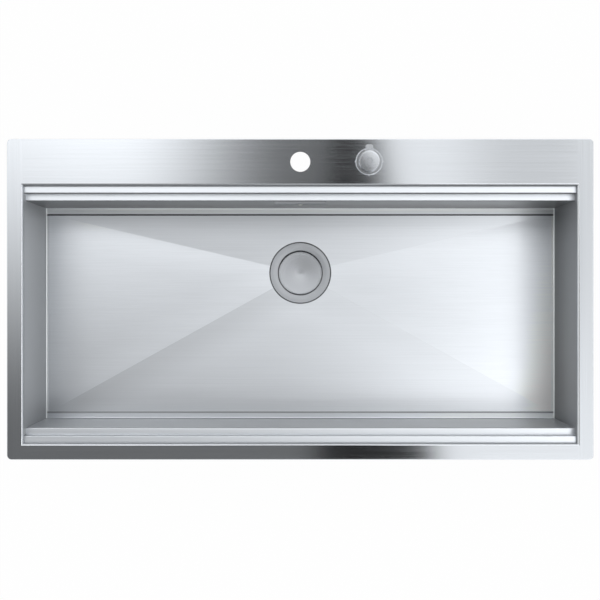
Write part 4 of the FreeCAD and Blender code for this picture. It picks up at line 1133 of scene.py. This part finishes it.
# Moulded, pressed and turned parts with rounded edges.
roundedParts = (
    ("overflowCover", "overflow_cover", "sink", "steel_bright", 0.0010),
    ("overflowHousing", "overflow_housing", "sink", "plastic_white", 0.0008),
    ("leverCover", "lever_cover", "sink", "plastic_white", 0.0008),
    ("driveHousing", "drive_housing", "sink", "plastic_grey", 0.0010),
    ("driveLid", "drive_lid", "sink", "plastic_grey", 0.0006),
    ("lockNut", "locknut", "sink", "plastic_grey", 0.0008),
    ("cableClip", "cable_clip", "sink", "plastic_grey", 0.0006),
    ("hoseClamps", "hose_clamps", "sink", "steel_plain", 0.0003),
    ("clampStraps", "clamps", "sink", "steel_plain", 0.0004),
    ("clampAnchors", "clamp_anchors", "sink", "steel_plain", 0.0004),
    ("knobBase", "knob_base", "sink", "knob_chrome", 0.0006),
)
for entry in roundedParts:
    makeRoundedPart(*entry)
print("rounded parts made")

# Waste pot: the solid's form with rounded edges and a thread on its outlet.
potLook = {
    "edge": 0.0008,
    "threadLow": -0.3206,
    "threadHigh": -0.3010,
    "pitch": 0.0030,
    "skin": (0.0230, 0.0245),  # radii between which the outlet's outer skin lies
    "levelGap": 0.00002,
    "rootShare": 0.955,
    "smoothAngle": 25,
}


def makeWastePot(look):
    x, y = wastePlace
    item = mergedCopy("wastePot", "waste_pot")
    softenEdges(item, look["edge"])
    editPoints()
    count = int((look["threadHigh"] - look["threadLow"]) / look["pitch"] * 2)
    levels = [look["threadLow"] + step * look["pitch"] / 2 for step in range(count + 1)]
    for level in levels:
        bpy.ops.mesh.select_all(action="SELECT")
        bpy.ops.mesh.bisect(plane_co=(x, y, level), plane_no=(0, 0, 1))
    bpy.ops.object.mode_set(mode="OBJECT")
    clearMarks(item)
    inner, outer = look["skin"]
    for vertex in item.data.vertices:
        place = vertex.co
        reach = math.hypot(place.x - x, place.y - y)
        near = any(abs(place.z - level) < look["levelGap"] for level in levels[1::2])
        vertex.select = near and inner < reach < outer
    bpy.ops.object.mode_set(mode="EDIT")
    share = look["rootShare"]
    bpy.ops.transform.resize(value=(share, share, 1), center_override=(x, y, 0))
    bpy.ops.object.mode_set(mode="OBJECT")
    shadeByAngle(item, look["smoothAngle"])
    finishPiece(item, "sink", "plastic_white", "waste_pot")


makeWastePot(potLook)
print("waste pot made")

# Clamp screws: a threaded rod with two wings and a pad.
screwLook = {
    "rod": 0.0030,
    "root": 0.0025,
    "pitch": 0.0012,
    "flanks": (0.25, 0.75),  # shares of the pitch at root and crest
    "sides": 20,
    "tipShare": 0.8,
    "chamfer": 0.0005,
    "padRadius": 0.0044,
    "padHeight": 0.0020,
    "wingHeight": 0.0050,
    "wingReach": 0.0070,
    "wingHalf": 0.0011,
    "wingEdge": 0.0010,
    "smoothAngle": 35,
}


# The box round each loose piece of a node.
def islandBoxes(node):
    mergedCopy("islands", node)
    editPoints()
    bpy.ops.mesh.separate(type="LOOSE")
    bpy.ops.object.mode_set(mode="OBJECT")
    boxes = []
    parts = list(bpy.context.selected_objects)
    for part in parts:
        corners = [vertex.co for vertex in part.data.vertices]
        boxes.append((Vector(min(c[i] for c in corners) for i in range(3)),
                      Vector(max(c[i] for c in corners) for i in range(3))))
    for part in parts:
        bpy.data.objects.remove(part)
    return boxes


def makeClampScrews(look):
    made = []
    for low, high in islandBoxes("clamp_screws"):
        x, y = (low.x + high.x) / 2, (low.y + high.y) / 2
        if not made:
            made.append(makeScrew(look, x, y, low.z, high.z))
            start = (x, y)
            continue
        selectOnly(made[0])
        bpy.ops.object.duplicate(linked=False)
        copy = bpy.context.object
        bpy.ops.transform.translate(value=(x - start[0], y - start[1], 0))
        bpy.ops.object.transform_apply(location=True, rotation=True, scale=True)
        made.append(copy)
    selectOnly(*made)
    bpy.ops.object.join()
    item = bpy.context.object
    item.name = "clampScrews"
    shadeByAngle(item, look["smoothAngle"])
    finishPiece(item, "sink", "steel_plain", "clamp_screws")


def makeScrew(look, x, y, low, high):
    rod, root, pitch, chamfer = look["rod"], look["root"], look["pitch"], look["chamfer"]
    padLow, padRadius = high - look["padHeight"], look["padRadius"]
    level = low + look["wingHeight"]
    outline = [(0.0, low), (rod * look["tipShare"], low), (rod, low + chamfer), (rod, level)]
    while level + pitch < padLow:
        outline += [(radius, level + pitch * flank) for radius, flank in
                    zip((root, rod), look["flanks"])]
        level += pitch
    outline += [(root, padLow), (padRadius - chamfer, padLow), (padRadius, padLow + chamfer),
                (padRadius, high), (0.0, high)]
    screw = turnOutline("clampScrew", (x, y), outline, look["sides"])
    clearSelection()
    bpy.ops.mesh.primitive_cube_add(size=1, location=(x, y, low + look["wingHeight"] / 2))
    wing = bpy.context.object
    size = (2 * look["wingReach"], 2 * look["wingHalf"], look["wingHeight"])
    bpy.ops.transform.resize(value=size)
    bpy.ops.object.transform_apply(location=True, rotation=True, scale=True)
    softenEdges(wing, look["wingEdge"])
    selectOnly(screw, wing)
    bpy.ops.object.join()
    return bpy.context.object


makeClampScrews(screwLook)
print("clamp screws made")

# Floor and world, which also lights the scene.

stageLook = {
    "floorGap": 0.001,  # under the lowest solid
    "floorReach": 60.0,
    "floorRoughness": 0.9,
    "floorColour": (0.86, 0.86, 0.86),
    "ownShare": 0.98,  # how much of the floor's white is its own for the camera
}


def layFloor(look):
    clearSelection()
    level = cadLow.z - look["floorGap"]
    bpy.ops.mesh.primitive_plane_add(size=look["floorReach"], location=(0, 0, level))
    floor = bpy.context.object
    floor.name = "studioFloor"
    material, tree, shader = startMaterial("paleFloor", look["floorRoughness"], 0.0)[:3]
    feed(tree, shader.inputs["Base Color"], look["floorColour"])
    glow = addNode(tree, "ShaderNodeEmission", Strength=1.0)
    path = tree.nodes.new("ShaderNodeLightPath")
    seen = largest(tree, *(path.outputs["Is %s Ray" % kind]
                           for kind in ("Camera", "Glossy", "Transmission")))
    mix = tree.nodes.new("ShaderNodeMixShader")
    feed(tree, mix.inputs[0], times(tree, seen, look["ownShare"]))
    feed(tree, mix.inputs[1], shader.outputs[0])
    feed(tree, mix.inputs[2], glow.outputs[0])
    feed(tree, tree.nodes["Material Output"].inputs["Surface"], mix.outputs[0])
    floor.data.materials.append(material)


skyLook = {
    "leastUp": 0.02,
    "gap": 0.006,  # brightness between the panels
    "leftBase": 0.150,
    "leftBaseEdge": 0.018,
    "leftBaseLean": -0.045,
    "leftBaseSoft": 0.011,
    "leftPanel": 1.14,
    "leftAcross": (-0.005, -0.145),
    "leftAlong": (-0.11, 0.19),
    "leftEnd": (-0.17, -0.235, 1.0, 0.90),
    "rightPanel": 0.94,
    "rightEdge": 0.0855,  # slope from straight up where the right panel starts
    "rightLean": 0.1734,
    "rightSoft": 0.015,
    "dip": 0.26,
    "dipPlace": 0.186,
    "dipReach": (0.012, 0.085),
    "dipAlong": (-0.11, 0.05),
    "panelX": 0.26,  # slopes at which the panels end
    "panelY": 0.145,
    "panelFade": (1.0, 1.4),
    "tentAcross": (-0.25, 0.32),
    "tentAlong": (-0.14, 0.22),
    "tentFrontLeft": 0.05,
    "tentRearLeft": 2.25,
    "tentFrontRight": 3.10,
    "tentRearRight": 2.55,
    "skirt": 0.62,
    "skirtLevel": (0.905, 0.855),
    "horizon": 1.0,
    "horizonLevel": (0.17, 0.09),
}


# A soft tent: two panels overhead with a dark gap between them, pale walls all round.
def hangTent(look):
    world = bpy.data.worlds.new("softTent")
    bpy.context.scene.world = world
    world.use_nodes = True
    tree = world.node_tree
    shader = tree.nodes["Background"]
    coords = tree.nodes.new("ShaderNodeTexCoord").outputs["Generated"]
    x, y, z = splitCoords(tree, coords)
    up = largest(tree, z, look["leastUp"])
    slopeX = mathNode(tree, "DIVIDE", x, up)
    slopeY = mathNode(tree, "DIVIDE", y, up)
    edge, soft = look["rightEdge"], look["rightSoft"]
    right = rampNode(tree, timesPlus(tree, slopeY, look["rightLean"], slopeX),
                     edge - soft, edge + soft)
    edge, soft = look["leftBaseEdge"], look["leftBaseSoft"]
    base = rampNode(tree, timesPlus(tree, slopeY, look["leftBaseLean"], slopeX),
                    edge + soft, edge - soft)
    left = times(tree, rampNode(tree, slopeX, *look["leftAcross"]),
                 rampNode(tree, slopeY, *look["leftAlong"]),
                 rampNode(tree, slopeX, *look["leftEnd"]))
    dip = times(tree, nearTo(tree, slopeX, look["dipPlace"], look["dipReach"]),
                rampNode(tree, slopeY, *look["dipAlong"]))
    sky = timesPlus(tree, right, look["rightPanel"], look["gap"])
    sky = timesPlus(tree, left, look["leftPanel"], sky)
    sky = timesPlus(tree, base, look["leftBase"], sky)
    sky = timesPlus(tree, dip, -look["dip"], sky)
    reach = largest(tree, times(tree, absolute(tree, slopeX), 1 / look["panelX"]),
                    times(tree, absolute(tree, slopeY), 1 / look["panelY"]))
    tentLeft, tentRight = (rampNode(tree, slopeY, *look["tentAlong"], look[front], look[rear])
                           for front, rear in (("tentFrontLeft", "tentRearLeft"),
                                               ("tentFrontRight", "tentRearRight")))
    tent = mixFloat(tree, rampNode(tree, slopeX, *look["tentAcross"]), tentLeft, tentRight)
    sky = mixFloat(tree, rampNode(tree, reach, *look["panelFade"]), sky, tent)
    sky = mixFloat(tree, rampNode(tree, z, *look["skirtLevel"]), sky, look["skirt"])
    sky = mixFloat(tree, rampNode(tree, z, *look["horizonLevel"]), sky, look["horizon"])
    feed(tree, shader.inputs["Strength"], sky)
    shader.inputs["Color"].default_value = (1, 1, 1, 1)


layFloor(stageLook)
hangTent(skyLook)
bpy.context.scene.view_settings.view_transform = "Standard"
print("stage ready")

# Sizes.

print("box of the solids", [round(value, 4) for value in (*cadLow, *cadHigh)])
